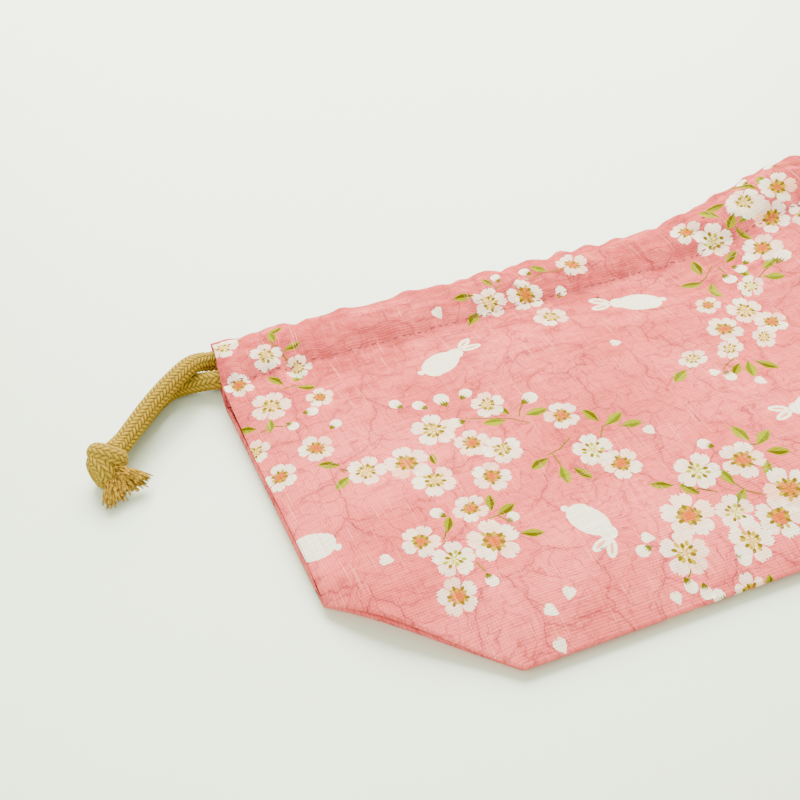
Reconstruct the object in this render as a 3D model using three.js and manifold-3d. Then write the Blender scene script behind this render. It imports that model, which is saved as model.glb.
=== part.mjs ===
// Kinchaku drawstring pouch in printed cotton, lying flat with its boxed base tucked inside.
// Millimetres. +X runs along the mouth, +Y points to the mouth and +Z is up.
// The origin is the middle of the pouch, on the surface that it lies on.

import * as THREE from 'three';
import { mergeVertices } from 'three/addons/utils/BufferGeometryUtils.js';
import Module from 'manifold-3d';

// Cut of the pouch
const pouchWidth = 280;
const pouchHeight = 153;
const gussetDepth = 80;
const casingDepth = 22;
const hemTurnUp = 3;
const casingEndTaper = 3;
const clothThickness = 0.5;

// How the empty pouch lies
const layerClearance = 0.3;
const foldSpace = 0.7;
const sideEdgeHeight = 5;
const sideEdgeCurl = 5;
const seamLap = 1.5;
const bellyHeight = 10.5;
const bellySpread = 18;
const sideSpread = 12;
const valleyHeight = 6.4;
const slitOpening = 3.5;
const slitSpread = 16;
const slitSkew = 1.7;
const sideRunIn = 12;
const sideRunOut = 14;
const valleySpread = 30;
const mouthLift = 17;
const liftStart = 22;
const liftPeak = 92;
const liftReach = 80;
const liftAtEnd = 0.35;

// Drawstring
const cordDiameter = 6;
const cordClearance = 1.1;
const frontCordInset = 6.5;
const strandGap = 3;
const cordSides = 10;
const cordSteps = 80;

// Knot and frayed end
const knotOut = 41.2;
const knotInset = 40.6;
const knotHeight = 7.2;
const knotCoreRadius = 5.6;
const knotWrapRadius = 3.9;
const knotWrapThickness = 2.9;
const knotWrapOffset = 2.3;
const tuftLength = 7;
const tuftNeckRadius = 2.8;
const tuftEndRadius = 6.6;
const tuftFlatness = 0.46;
const tuftClearance = 0.3;
const knotWrapAxes = [new THREE.Vector3(0.7, 0.6, 0.38), new THREE.Vector3(-0.96, -0.28, -0.04)];
const tuftHeading = new THREE.Vector3(0.26, -0.94, -0.21).normalize();

// Mesh divisions
const middleColumns = 20;
const chamferColumns = 5;
const tuckRows = 3;
const foldRows = 4;
const faceRows = 9;

const clothMaterial = new THREE.MeshStandardMaterial({ color: 0xeeaaa5, roughness: 0.9, metalness: 0 });
const cordMaterial = new THREE.MeshStandardMaterial({ color: 0xc9a64f, roughness: 0.85, metalness: 0 });

// Sizes that follow from the cut
const halfWidth = pouchWidth / 2;
const tuckDepth = gussetDepth / 2;
const stitchLevel = pouchHeight - casingDepth;
const layerPitch = clothThickness + layerClearance;
const foldPitch = clothThickness + foldSpace;
const foldRadius = foldPitch / 2;
const cordRadius = cordDiameter / 2;
const cordSeat = cordRadius + cordClearance + clothThickness / 2;
const backCordInset = frontCordInset + cordDiameter + strandGap;
const knotReach = Math.max(knotCoreRadius, Math.hypot(knotWrapOffset, knotWrapRadius) + knotWrapThickness);

// Mid-surface heights of the layers, from the floor up
const backFaceHeight = clothThickness / 2;
const backTuckHeight = backFaceHeight + foldPitch;
const frontTuckHeight = backTuckHeight + layerPitch;
const frontFaceHeight = frontTuckHeight + foldPitch;
const backCordHeight = backFaceHeight + cordSeat;
const backHemHeight = backFaceHeight + layerPitch;
const frontCordHeight = backHemHeight + layerPitch + cordSeat;
const mouthFoldHeight = frontCordHeight - cordRadius;

const { lerp, smoothstep } = THREE.MathUtils;

// Height of the fold line above the bottom edge: level in the middle, slanting up at the boxed corners.
function foldLine(u) {
  return Math.max(0, Math.abs(u) - (halfWidth - tuckDepth));
}

// Top of the tucked layer, where front and back are sewn together.
function tuckTop(u) {
  return Math.max(tuckDepth, foldLine(u) + 2 * foldRadius + seamLap);
}

// How far the mouth of the front panel stands off the back, so that the pouch gapes.
function lift(u, v) {
  const endShare = liftAtEnd * smoothstep(v, stitchLevel, pouchHeight);
  const fall = smoothstep(u, liftPeak, halfWidth) * (1 - endShare);
  const along = smoothstep(u, liftStart, liftPeak) * (1 - fall);
  return mouthLift * along * smoothstep(v, pouchHeight - liftReach, pouchHeight);
}

// How much taller an upright section of the front casing is where the lifted mouth slopes.
function slopeStretch(u) {
  const slope = lift(u + 0.5, pouchHeight) - lift(u - 0.5, pouchHeight);
  return Math.hypot(1, slope);
}

// How far the two tucked layers part along a slanted corner.
function slit(u) {
  const along = foldLine(u) / tuckDepth;
  return slitOpening * Math.sin(Math.PI * along ** slitSkew);
}

// One along the sewn side edges, zero at the tucked base and at the open casing ends.
function sewnSide(v) {
  const seamStart = tuckDepth + 2 * foldRadius + seamLap;
  const start = smoothstep(v, seamStart, seamStart + sideRunIn);
  return start * (1 - smoothstep(v, stitchLevel - sideRunOut, stitchLevel));
}

// Point of a layer that wraps a strand, counted in layers out from the one that touches it.
function around(cordInset, cordHeight, layers, degrees) {
  const radius = cordSeat + layers * layerPitch;
  const angle = THREE.MathUtils.degToRad(degrees);
  return [cordInset + radius * Math.cos(angle), cordHeight + radius * Math.sin(angle)];
}

function aroundFrontCord(layers, degrees) {
  return around(frontCordInset, frontCordHeight, layers, degrees);
}

function aroundBackCord(layers, degrees) {
  return around(backCordInset, backCordHeight, layers, degrees);
}

// Casings as [inset from the mouth, height] points, from the mouth fold to the stitch line and hem edge.
const hemEdge = casingDepth + hemTurnUp;
const frontTop = [
  aroundFrontCord(0, 135),
  aroundFrontCord(0, 90),
  aroundBackCord(2, 90),
  aroundBackCord(2, 45),
  [casingDepth, valleyHeight],
];
const frontHem = [
  aroundFrontCord(0, 225),
  aroundFrontCord(0, 270),
  aroundFrontCord(0, 315),
  aroundBackCord(1, 135),
  aroundBackCord(1, 90),
  aroundBackCord(1, 45),
  [casingDepth, valleyHeight - layerPitch],
  [hemEdge, valleyHeight - layerPitch],
];
const backHem = [
  [2 * foldRadius, backHemHeight],
  aroundFrontCord(1, 270),
  aroundFrontCord(1, 315),
  aroundBackCord(0, 135),
  aroundBackCord(0, 90),
  aroundBackCord(0, 45),
  [casingDepth, backHemHeight],
  [hemEdge, backHemHeight],
];

function fromMouth([inset, height]) {
  return [pouchHeight - inset, height];
}

function frontFace(u, v) {
  const fromFold = v - foldLine(u);
  const puff = 1 - Math.exp(-fromFold / bellySpread);
  const belly = frontFaceHeight + (bellyHeight - frontFaceHeight) * puff;
  const fromSide = halfWidth - Math.abs(u);
  const sideLevel = lerp(belly, sideEdgeHeight, Math.exp(-fromSide / sideSpread));
  const lying = lerp(belly, sideLevel, sewnSide(v)) + slit(u) * Math.exp(-fromFold / slitSpread);
  const toValley = smoothstep(v, stitchLevel - valleySpread, stitchLevel - hemTurnUp);
  return lerp(lying, valleyHeight, toValley);
}

function frontTuck(u, v) {
  const along = (v - foldLine(u)) / (tuckTop(u) - foldLine(u));
  return frontTuckHeight + slit(u) * (1 - along);
}

function backFace(u, v) {
  const fromSide = Math.max(0, 1 - (halfWidth - Math.abs(u)) / sideEdgeCurl);
  const rise = sideEdgeHeight - layerPitch - backFaceHeight;
  return backFaceHeight + rise * fromSide ** 2 * sewnSide(v);
}

// Points of a half-turn fold whose outer edge is at level edge; side is -1 at the bottom, +1 at the mouth.
function foldTurn(edge, low, high, side, upwards) {
  const radius = (high - low) / 2;
  const centre = edge - side * (radius + clothThickness / 2);
  return Array.from({ length: foldRows - 1 }, (_, k) => {
    const turn = Math.PI * ((k + 1) / foldRows - 0.5) * (upwards ? 1 : -1);
    return [centre + side * radius * Math.cos(turn), (low + high) / 2 + radius * Math.sin(turn)];
  });
}

function spread(from, to, count) {
  return Array.from({ length: count + 1 }, (_, k) => lerp(from, to, k / count));
}

// Section of the front panel at column u, from the base seam round to the hem edge: [level, height] pairs.
function frontSection(u) {
  const bottom = foldLine(u);
  const faceStart = bottom + 2 * foldRadius;
  const low = frontTuck(u, bottom);
  const tuck = spread(tuckTop(u), faceStart, tuckRows).map((v) => [v, frontTuck(u, v)]);
  const bottomFold = foldTurn(bottom, low, low + foldPitch, -1, true);
  const face = spread(faceStart, pouchHeight - hemEdge - 1, faceRows).map((v) => [v, frontFace(u, v)]);
  const stretched = ([v, z]) => [v, lerp(frontCordHeight, z, slopeStretch(u))];
  const casing = frontTop.map(fromMouth).map(stretched).reverse();
  const mouthFold = foldTurn(pouchHeight, mouthFoldHeight, mouthFoldHeight + foldPitch, 1, false);
  const hem = frontHem.map(fromMouth).map(stretched);
  const section = [...tuck, ...bottomFold, ...face, ...casing, ...mouthFold, ...hem];
  return section.map(([v, z]) => [v, z + lift(u, v)]);
}

// Section of the back panel at column u, in the same order.
function backSection(u) {
  const bottom = foldLine(u);
  const faceStart = bottom + 2 * foldRadius;
  const faceEnd = pouchHeight - 2 * foldRadius;
  const tuck = spread(tuckTop(u), faceStart, tuckRows).map((v) => [v, backTuckHeight]);
  const bottomFold = foldTurn(bottom, backFaceHeight, backTuckHeight, -1, false);
  const face = spread(faceStart, faceEnd, faceRows + 2).map((v) => [v, backFace(u, v)]);
  const mouthFold = foldTurn(pouchHeight, backFaceHeight, backHemHeight, 1, true);
  return [...tuck, ...bottomFold, ...face, ...mouthFold, ...backHem.map(fromMouth)];
}

// Columns across the width, with a column at each corner of the outline and two more at the edge curl.
function columnPlaces() {
  const corner = halfWidth - tuckDepth;
  const right = [
    ...spread(0, corner, middleColumns / 2).slice(1),
    ...spread(corner, halfWidth - sideEdgeCurl, chamferColumns).slice(1),
    halfWidth - sideEdgeCurl / 3,
    halfWidth,
  ];
  return [...right.map((u) => -u).reverse(), 0, ...right];
}

// Narrowing of the cloth towards the open casing ends.
function taperedX(u, v) {
  const taper = casingEndTaper * smoothstep(v, stitchLevel - hemTurnUp, pouchHeight);
  return (u * (halfWidth - taper)) / halfWidth;
}

// Closed sheet of cloth thickness about a grid of mid-surface points.
function clothSheet(section) {
  const grid = columnPlaces().map((u) => section(u).map(([v, z]) => new THREE.Vector3(taperedX(u, v), v, z)));
  const columns = grid.length;
  const rows = grid[0].length;
  const normalAt = (i, j) => {
    const across = new THREE.Vector3()
      .subVectors(grid[Math.min(i + 1, columns - 1)][j], grid[Math.max(i - 1, 0)][j])
      .normalize();
    const along = new THREE.Vector3()
      .subVectors(grid[i][Math.min(j + 1, rows - 1)], grid[i][Math.max(j - 1, 0)])
      .normalize();
    return across.cross(along).normalize();
  };
  const positions = [];
  for (const side of [1, -1]) {
    grid.forEach((column, i) =>
      column.forEach((point, j) => {
        const shifted = point.clone().addScaledVector(normalAt(i, j), (side * clothThickness) / 2);
        positions.push(shifted.x, shifted.y, shifted.z);
      }),
    );
  }
  const index = [];
  const at = (i, j, side) => (side * columns + i) * rows + j;
  const quad = (a, b, c, d) => index.push(a, b, c, a, c, d);
  for (let i = 0; i < columns - 1; i += 1) {
    for (let j = 0; j < rows - 1; j += 1) {
      quad(at(i, j, 0), at(i + 1, j, 0), at(i + 1, j + 1, 0), at(i, j + 1, 0));
      quad(at(i, j, 1), at(i, j + 1, 1), at(i + 1, j + 1, 1), at(i + 1, j, 1));
    }
    quad(at(i, 0, 0), at(i, 0, 1), at(i + 1, 0, 1), at(i + 1, 0, 0));
    quad(at(i, rows - 1, 0), at(i + 1, rows - 1, 0), at(i + 1, rows - 1, 1), at(i, rows - 1, 1));
  }
  for (let j = 0; j < rows - 1; j += 1) {
    quad(at(0, j, 0), at(0, j + 1, 0), at(0, j + 1, 1), at(0, j, 1));
    quad(at(columns - 1, j, 0), at(columns - 1, j, 1), at(columns - 1, j + 1, 1), at(columns - 1, j + 1, 0));
  }
  const geometry = new THREE.BufferGeometry();
  geometry.setAttribute('position', new THREE.Float32BufferAttribute(positions, 3));
  geometry.setIndex(index);
  geometry.computeVertexNormals();
  return geometry;
}

// Route of the drawstring, chosen by eye: [out past the casing end, further from the mouth than in the
// casing, rise above a cord that lies on the floor].
const frontTail = [
  [35.6, 28.6, 4.3],
  [32.6, 25.8, 4.7],
  [28.8, 22.1, 5.2],
  [24.4, 17.9, 5.8],
  [19.6, 13.8, 6.4],
  [14.6, 9.8, 6.8],
  [10, 6.2, 6.8],
  [6.2, 3.2, 6.1],
  [2.4, 1, 4.4],
  [-1.5, 0.2, 3],
];
const backTail = [
  [-1.5, -0.4, 1.8],
  [2.4, -1.6, 1.4],
  [6.6, -3.1, 0.6],
  [10.8, -3.8, 0.1],
  [15.2, -2.9, 0.1],
  [19.4, -0.2, 0.1],
  [23.4, 3.4, 0.1],
  [27.2, 7.2, 0.1],
  [30.8, 10.8, 0.2],
  [34, 14.4, 0.7],
];
// Turn at the right-hand end, out of the front casing and into the back one.
const frontTurn = [
  [3, -0.2, 7],
  [9, -1.7, 5.9],
  [15, 0.1, 4.2],
  [17.6, 4.7, 2.6],
];
const backTurn = [
  [15, 0.2, 1.6],
  [9, 1.4, 1.4],
  [3, 0.3, 1.5],
];
// Places along the casings, as shares of the half width.
const frontStops = [-0.85, -0.3, 0.15, 0.27, 0.38, 0.48, 0.58, 0.68, 0.76, 0.83, 0.9, 0.96];
const backStops = [0.85, 0.3, -0.3, -0.85];

function cordRoute() {
  const place = (side, inset) => ([out, further, rise]) =>
    new THREE.Vector3(side * (halfWidth + out), pouchHeight - inset - further, cordRadius + rise);
  const frontRun = frontStops.map((share) => {
    const v = pouchHeight - frontCordInset;
    return new THREE.Vector3(share * halfWidth, v, frontCordHeight + lift(share * halfWidth, v));
  });
  const backRun = backStops.map(
    (share) => new THREE.Vector3(share * halfWidth, pouchHeight - backCordInset, backCordHeight),
  );
  return new THREE.CatmullRomCurve3([
    ...frontTail.map(place(-1, frontCordInset)),
    ...frontRun,
    ...frontTurn.map(place(1, frontCordInset)),
    ...backTurn.map(place(1, backCordInset)),
    ...backRun,
    ...backTail.map(place(-1, backCordInset)),
  ]);
}

function cordGeometry() {
  const section = new THREE.Shape();
  section.absarc(0, 0, cordRadius, 0, 2 * Math.PI);
  return new THREE.ExtrudeGeometry(section, {
    steps: cordSteps,
    curveSegments: cordSides / 2,
    extrudePath: cordRoute(),
  });
}

const wasm = await Module();
wasm.setup();

// Solid of a closed geometry, with its shared corners merged.
function solidOf(source) {
  const bare = source.clone();
  bare.deleteAttribute('normal');
  bare.deleteAttribute('uv');
  const merged = mergeVertices(bare, 1e-4);
  return new wasm.Manifold(
    new wasm.Mesh({
      numProp: 3,
      vertProperties: new Float32Array(merged.attributes.position.array),
      triVerts: new Uint32Array(merged.index.array),
    }),
  );
}

function geometryOf(solid) {
  const mesh = solid.getMesh();
  const geometry = new THREE.BufferGeometry();
  geometry.setAttribute('position', new THREE.Float32BufferAttribute(mesh.vertProperties, 3));
  geometry.setIndex(new THREE.Uint32BufferAttribute(mesh.triVerts, 1));
  geometry.computeVertexNormals();
  return geometry;
}

// Knot about its own centre: a pulled-in core, one turn round the cord that comes in and one beside it.
function knotGeometry() {
  const core = new THREE.SphereGeometry(knotCoreRadius, 16, 10);
  const wraps = knotWrapAxes.map((heading) => {
    const axis = heading.clone().normalize();
    const turn = new THREE.Quaternion().setFromUnitVectors(new THREE.Vector3(0, 0, 1), axis);
    axis.multiplyScalar(knotWrapOffset);
    return new THREE.TorusGeometry(knotWrapRadius, knotWrapThickness, cordSides, 2 * cordSides)
      .applyQuaternion(turn)
      .translate(axis.x, axis.y, axis.z);
  });
  const joined = wraps.reduce((solid, wrap) => solid.add(solidOf(wrap)), solidOf(core));
  return geometryOf(joined);
}

// Frayed end: a neck that flares into a brush, flattened where it lies, along local +Z.
function tuftGeometry() {
  const profile = [
    [0, 0],
    [tuftNeckRadius, 0],
    [lerp(tuftNeckRadius, tuftEndRadius, 0.3), lerp(0, tuftLength, 0.35)],
    [lerp(tuftNeckRadius, tuftEndRadius, 0.75), lerp(0, tuftLength, 0.7)],
    [tuftEndRadius, lerp(0, tuftLength, 0.95)],
    [0, tuftLength],
  ].map(([radius, along]) => new THREE.Vector2(radius, along));
  return new THREE.LatheGeometry(profile, 20).rotateX(Math.PI / 2).scale(1, tuftFlatness, 1);
}

function namedMesh(name, geometry, material) {
  const mesh = new THREE.Mesh(geometry, material.clone());
  mesh.name = name;
  return mesh;
}

const pouch = new THREE.Group();
pouch.position.y = -pouchHeight / 2;

pouch.add(namedMesh('back_panel', clothSheet(backSection), clothMaterial));
pouch.add(namedMesh('front_panel', clothSheet(frontSection), clothMaterial));
pouch.add(namedMesh('drawstring', cordGeometry(), cordMaterial));

const knot = namedMesh('drawstring_knot', knotGeometry(), cordMaterial);
knot.position.set(-halfWidth - knotOut, pouchHeight - knotInset, knotHeight);
pouch.add(knot);

// Turns a piece so that its local Z runs along a heading and its local Y stays as upright as it can.
function alignTo(mesh, heading) {
  const turn = new THREE.Matrix4().lookAt(heading, new THREE.Vector3(), new THREE.Vector3(0, 0, 1));
  mesh.quaternion.setFromRotationMatrix(turn);
}

const tuft = namedMesh('drawstring_tuft', tuftGeometry(), cordMaterial);
tuft.position.copy(knot.position).addScaledVector(tuftHeading, knotReach + tuftClearance);
alignTo(tuft, tuftHeading);
pouch.add(tuft);

export default pouch;
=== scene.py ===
import logging
import math
from dataclasses import dataclass, field
from enum import Enum
from typing import Iterable, Sequence

import bpy
import numpy as np
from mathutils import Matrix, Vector
from mathutils.geometry import delaunay_2d_cdt


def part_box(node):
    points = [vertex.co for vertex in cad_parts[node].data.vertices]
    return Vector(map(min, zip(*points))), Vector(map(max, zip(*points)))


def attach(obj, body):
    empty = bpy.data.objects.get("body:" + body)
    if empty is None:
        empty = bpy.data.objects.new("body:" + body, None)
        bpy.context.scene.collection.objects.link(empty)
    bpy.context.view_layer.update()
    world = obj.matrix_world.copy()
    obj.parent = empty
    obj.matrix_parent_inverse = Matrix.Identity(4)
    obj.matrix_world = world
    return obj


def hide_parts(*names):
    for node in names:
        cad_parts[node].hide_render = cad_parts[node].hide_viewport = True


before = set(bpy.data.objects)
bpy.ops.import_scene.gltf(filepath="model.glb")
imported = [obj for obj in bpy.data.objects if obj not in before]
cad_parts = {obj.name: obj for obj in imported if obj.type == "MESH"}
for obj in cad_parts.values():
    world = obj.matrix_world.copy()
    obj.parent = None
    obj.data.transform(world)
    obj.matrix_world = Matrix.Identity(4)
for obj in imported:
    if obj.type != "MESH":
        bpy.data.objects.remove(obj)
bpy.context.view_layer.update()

# Kinchaku drawstring pouch of printed slub cotton, lying flat on a pale table. Its boxed base is tucked
# in, its mouth gapes at the right, and both ends of its braided cord leave the casing at the left into
# one knot.

log = logging.getLogger("kinchaku")

MM = 0.001
BODY = "root"

Array = np.ndarray
Colour = tuple[float, float, float, float]
Spot = tuple[float, float]
Tree = bpy.types.NodeTree
Node = bpy.types.Node
Socket = bpy.types.NodeSocket
Material = bpy.types.Material
Piece = bpy.types.Object


# Small helpers


def linear(hex_colour: str) -> Colour:
    """Turns an sRGB colour into the linear values that Blender works in.

    Args:
        hex_colour: Colour as "#RRGGBB".

    Returns:
        Linear red, green, blue and an alpha of one.
    """
    parts = [int(hex_colour[k : k + 2], 16) / 255 for k in (1, 3, 5)]
    red, green, blue = (p / 12.92 if p <= 0.04045 else ((p + 0.055) / 1.055) ** 2.4 for p in parts)
    return red, green, blue, 1.0


def smooth(x: Array, low: float, high: float) -> Array:
    """Smooth step from 0 at low to 1 at high."""
    s = np.clip((x - low) / (high - low), 0, 1)
    return s * s * (3 - 2 * s)


def blend(a: Array, b: Array, share: Array) -> Array:
    """Moves from a to b by a share between 0 and 1."""
    return a + (b - a) * share


def waves(x: Array, length: float, seed: int) -> Array:
    """Uneven ripples with heights of about one either way.

    Args:
        x: Places along the ripples, in mm.
        length: Typical length of a ripple, in mm.
        seed: Number that fixes the mix of ripples.

    Returns:
        Height of the ripples at each place.
    """
    rng = np.random.default_rng(seed)
    total = np.zeros_like(x, dtype=float)
    for _ in range(5):
        period = length * rng.uniform(0.6, 1.7)
        total = total + np.sin(2 * np.pi * x / period + rng.uniform(0, 2 * np.pi))
    return total / 2.4


def curve_through(points: Sequence[Spot], x: Array) -> Array:
    """Height of the smooth curve through some points.

    Args:
        points: (x, height) pairs in order of x.
        x: Places where the height is wanted.

    Returns:
        The curve's height at each place.
    """
    px, py = np.array(points, dtype=float).T
    slope = np.gradient(py, px)
    i = np.clip(np.searchsorted(px, x) - 1, 0, len(px) - 2)
    step = px[i + 1] - px[i]
    s = np.clip((x - px[i]) / step, 0, 1)
    start = (1 + 2 * s) * (1 - s) ** 2 * py[i] + s * (1 - s) ** 2 * step * slope[i]
    return start + s**2 * (3 - 2 * s) * py[i + 1] + s**2 * (s - 1) * step * slope[i + 1]


def path_through(points: Sequence[Sequence[float]], step: float) -> Array:
    """Evenly spaced points on the smooth path through some points.

    Args:
        points: Points that the path passes through.
        step: Distance between the points returned, in the same unit.

    Returns:
        The points, one row each.
    """
    p = np.array(points, dtype=float)
    p = np.vstack([2 * p[0] - p[1], p, 2 * p[-1] - p[-2]])
    s = np.linspace(0, 1, 24, endpoint=False)[:, None]
    dense = []
    for k in range(1, len(p) - 2):
        a, b, c, d = p[k - 1 : k + 3]
        square, cube = 2 * a - 5 * b + 4 * c - d, 3 * b - a - 3 * c + d
        dense.append(0.5 * (2 * b + (c - a) * s + square * s**2 + cube * s**3))
    dense = np.vstack([*dense, p[-2:-1]])
    along = np.concatenate([[0], np.cumsum(np.linalg.norm(np.diff(dense, axis=0), axis=1))])
    even = np.linspace(0, along[-1], max(2, int(round(along[-1] / step)) + 1))
    return np.stack([np.interp(even, along, dense[:, k]) for k in range(3)], axis=1)


def turned(shape: Array, degrees: float) -> Array:
    """Flat points turned about their origin."""
    c, s = math.cos(math.radians(degrees)), math.sin(math.radians(degrees))
    return np.asarray(shape) @ np.array([[c, s], [-s, c]])


def path_length(points: Array) -> float:
    """Length of a path of points."""
    return float(np.linalg.norm(np.diff(points, axis=0), axis=1).sum())


def add_node(
    tree: Tree, kind: str, inputs: dict[str | int, object] | None = None, **settings: object
) -> Node:
    """Adds a node, sets it up and links its inputs.

    Args:
        tree: Node tree that takes the node.
        kind: The node's type.
        inputs: What each input takes, by the input's name or number: a value, an output socket, or a
            node whose first output is meant.
        **settings: Properties of the node itself.

    Returns:
        The new node.
    """
    node = tree.nodes.new(kind)
    for name, value in settings.items():
        setattr(node, name, value)
    for key, value in (inputs or {}).items():
        source = value.outputs[0] if isinstance(value, Node) else value
        if isinstance(source, Socket):
            tree.links.new(source, node.inputs[key])
        else:
            node.inputs[key].default_value = source
    return node


def new_material(name: str) -> tuple[Material, Tree]:
    """Makes an empty node material.

    Args:
        name: Name of the material.

    Returns:
        The material and its node tree.
    """
    material = bpy.data.materials.new(name)
    material.use_nodes = True
    material.node_tree.nodes.clear()
    return material, material.node_tree


def mesh_object(
    name: str, points: Array, faces: Iterable[Sequence[int]], edges: Iterable[Sequence[int]] = ()
) -> Piece:
    """Makes a smooth-shaded mesh object from points in mm.

    Args:
        name: Name of the object.
        points: Corner points in the frame, in mm.
        faces: Corner numbers of each face.
        edges: Corner numbers of loose edges.

    Returns:
        The object, linked into the scene.
    """
    mesh = bpy.data.meshes.new(name)
    mesh.from_pydata((np.asarray(points) * MM).tolist(), list(edges), [tuple(f) for f in faces])
    mesh.polygons.foreach_set("use_smooth", [True] * len(mesh.polygons))
    mesh.update()
    piece = bpy.data.objects.new(name, mesh)
    bpy.context.collection.objects.link(piece)
    return piece


# Finishes


class Side(Enum):
    """Printed face of the cloth or the paler one inside, with the share of the print that it shows."""

    PRINTED = 1.0
    WRONG = 0.45


# Plain weave drawn coarser than the real thread of 0.45 mm, so that it reads at this distance.
WEAVE_MM = 0.85
# Slub threads as (scale across and along, lowest noise that shows, strength). They are 8 to 20 mm long,
# with more of them in the threads that run from mouth to base.
SLUBS = (((2.3, 0.06, 1.0), 0.66, 0.42), ((0.06, 2.4, 1.0), 0.68, 0.3))
# Crinkle lines as (cell in mm, width as a share of the cell, strength). The second row is a dusty edge
# to the first.
CRINKLES = ((19.0, 0.026, 0.8), (19.0, 0.13, 0.24), (8.5, 0.045, 0.7), (4.2, 0.1, 0.42))


# Cotton, plain woven from slub yarn and printed. It looks dull and soft, and its uneven threads show
# through the print.
@dataclass(frozen=True)
class ClothFinish:
    """Printed slub cotton: mottled ground, crinkle lines, print on top and slub threads through all."""

    ground: str = "#DE5E57"
    cloud: str = "#F37068"
    deep: str = "#B84642"
    vein: str = "#9C3639"
    slub: str = "#FFB294"
    wrong_side: str = "#E8786C"
    roughness: float = 0.9
    gloss: float = 0.02

    def material(self, side: Side) -> Material:
        """Builds the cloth material.

        Args:
            side: Which face of the cloth it is for.

        Returns:
            The material.
        """
        material, tree = new_material("printed slub cotton " + side.name.lower())
        flat = add_node(tree, "ShaderNodeUVMap", uv_map="flat")
        # One unit of this map is one metre of flat cloth, so a scale of 1000 counts in mm.
        mm = add_node(tree, "ShaderNodeVectorMath", {0: flat, "Scale": 1000.0}, operation="SCALE")
        place = mm.outputs[0]
        axes = add_node(tree, "ShaderNodeSeparateXYZ", {0: place}).outputs
        base = self._ground(tree, place, axes[1])
        base = self._crinkles(tree, place, base)
        base = self._printed(tree, side, base)
        base = self._slubs(tree, place, base)
        weave = self._weave(tree, place, axes)
        # The weave's ribs make the colour lighter on the threads' crowns, as painted highlight, and darker
        # in the dips between threads, as painted shade. The noise along each thread is the yarn's own
        # uneven tone.
        shade = add_node(tree, "ShaderNodeMapRange", {0: weave, 1: -4.0, 2: 4.0, 3: 0.77, 4: 1.23})
        dyed = {0: 1.0, 6: base, 7: shade}
        dim = add_node(tree, "ShaderNodeMix", dyed, data_type="RGBA", blend_type="MULTIPLY")
        relief = {"Strength": 0.3, "Distance": 0.0001, "Height": weave}
        bump = add_node(tree, "ShaderNodeBump", relief)
        colour = dim.outputs[2]
        look = {"Base Color": colour, "Roughness": self.roughness, "Specular IOR Level": self.gloss}
        surface = add_node(tree, "ShaderNodeBsdfPrincipled", {**look, "Normal": bump})
        add_node(tree, "ShaderNodeOutputMaterial", {0: surface})
        return material

    def _ground(self, tree: Tree, place: Socket, level: Socket) -> Socket:
        """Brushes on clouds of lighter and deeper dye, 25 to 60 mm across, and makes the colour darker
        towards the mouth.

        Args:
            tree: The material's node tree.
            place: Places on the flat cloth, in mm.
            level: The part of them that runs from base to mouth.

        Returns:
            Colour of the ground.
        """
        clouds = {"Vector": place, "Scale": 0.022, "Detail": 4.0, "Roughness": 0.6}
        wide = add_node(tree, "ShaderNodeTexNoise", clouds)
        light = add_node(tree, "ShaderNodeMapRange", {0: wide, 1: 0.4, 2: 0.6, 3: 0.0, 4: 1.0})
        dyes = {0: light, 6: linear(self.ground), 7: linear(self.cloud)}
        base = add_node(tree, "ShaderNodeMix", dyes, data_type="RGBA")
        lie = {"Vector": place, "Scale": (0.06, 0.2, 1.0), "Rotation": (0, 0, 0.3)}
        strokes = {"Vector": add_node(tree, "ShaderNodeMapping", lie), "Scale": 1.0, "Detail": 7.0}
        brushed = add_node(tree, "ShaderNodeTexNoise", {**strokes, "Roughness": 0.72})
        # Makes the colour darker towards the mouth.
        near_mouth = add_node(tree, "ShaderNodeMapRange", {0: level, 1: 85.0, 2: 140.0, 3: 0.0, 4: 0.22})
        depth = add_node(tree, "ShaderNodeMath", {0: brushed, 1: near_mouth}, operation="ADD")
        dark = add_node(tree, "ShaderNodeMapRange", {0: depth, 1: 0.55, 2: 0.82, 3: 0.0, 4: 1.0})
        dyes = {0: dark, 6: base.outputs[2], 7: linear(self.deep)}
        return add_node(tree, "ShaderNodeMix", dyes, data_type="RGBA").outputs[2]

    def _crinkles(self, tree: Tree, place: Socket, base: Socket) -> Socket:
        """Draws the thin web of a crumple-dyed ground, patchy and bent by noise.

        Args:
            tree: The material's node tree.
            place: Places on the flat cloth, in mm.
            base: Colour under the web.

        Returns:
            Colour with the web.
        """
        bent = place
        for scale, detail, rough, push in ((0.07, 2.0, 0.5, 20.0), (0.45, 4.0, 0.65, 3.2)):
            bends = {"Vector": place, "Scale": scale, "Detail": detail, "Roughness": rough}
            noise = add_node(tree, "ShaderNodeTexNoise", bends)
            shift = {0: noise.outputs[1], "Scale": push}
            pushed = add_node(tree, "ShaderNodeVectorMath", shift, operation="SCALE")
            bent = add_node(tree, "ShaderNodeVectorMath", {0: bent, 1: pushed}, operation="ADD")
        for cell, width, strength in CRINKLES:
            cells = {"Vector": bent, "Scale": 1.0 / cell}
            kind = {"feature": "DISTANCE_TO_EDGE", "voronoi_dimensions": "2D"}
            crack = add_node(tree, "ShaderNodeTexVoronoi", cells, **kind)
            line = add_node(tree, "ShaderNodeMapRange", {0: crack, 1: 0.0, 2: width, 3: strength, 4: 0.0})
            patches = {"Vector": place, "Scale": 1.3 / cell, "Detail": 3.0}
            patchy = add_node(tree, "ShaderNodeTexNoise", patches)
            shown = add_node(tree, "ShaderNodeMapRange", {0: patchy, 1: 0.36, 2: 0.56, 3: 0.12, 4: 1.0})
            share = add_node(tree, "ShaderNodeMath", {0: line, 1: shown}, operation="MULTIPLY")
            dyes = {0: share, 6: base, 7: linear(self.vein)}
            base = add_node(tree, "ShaderNodeMix", dyes, data_type="RGBA").outputs[2]
        return base

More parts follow.
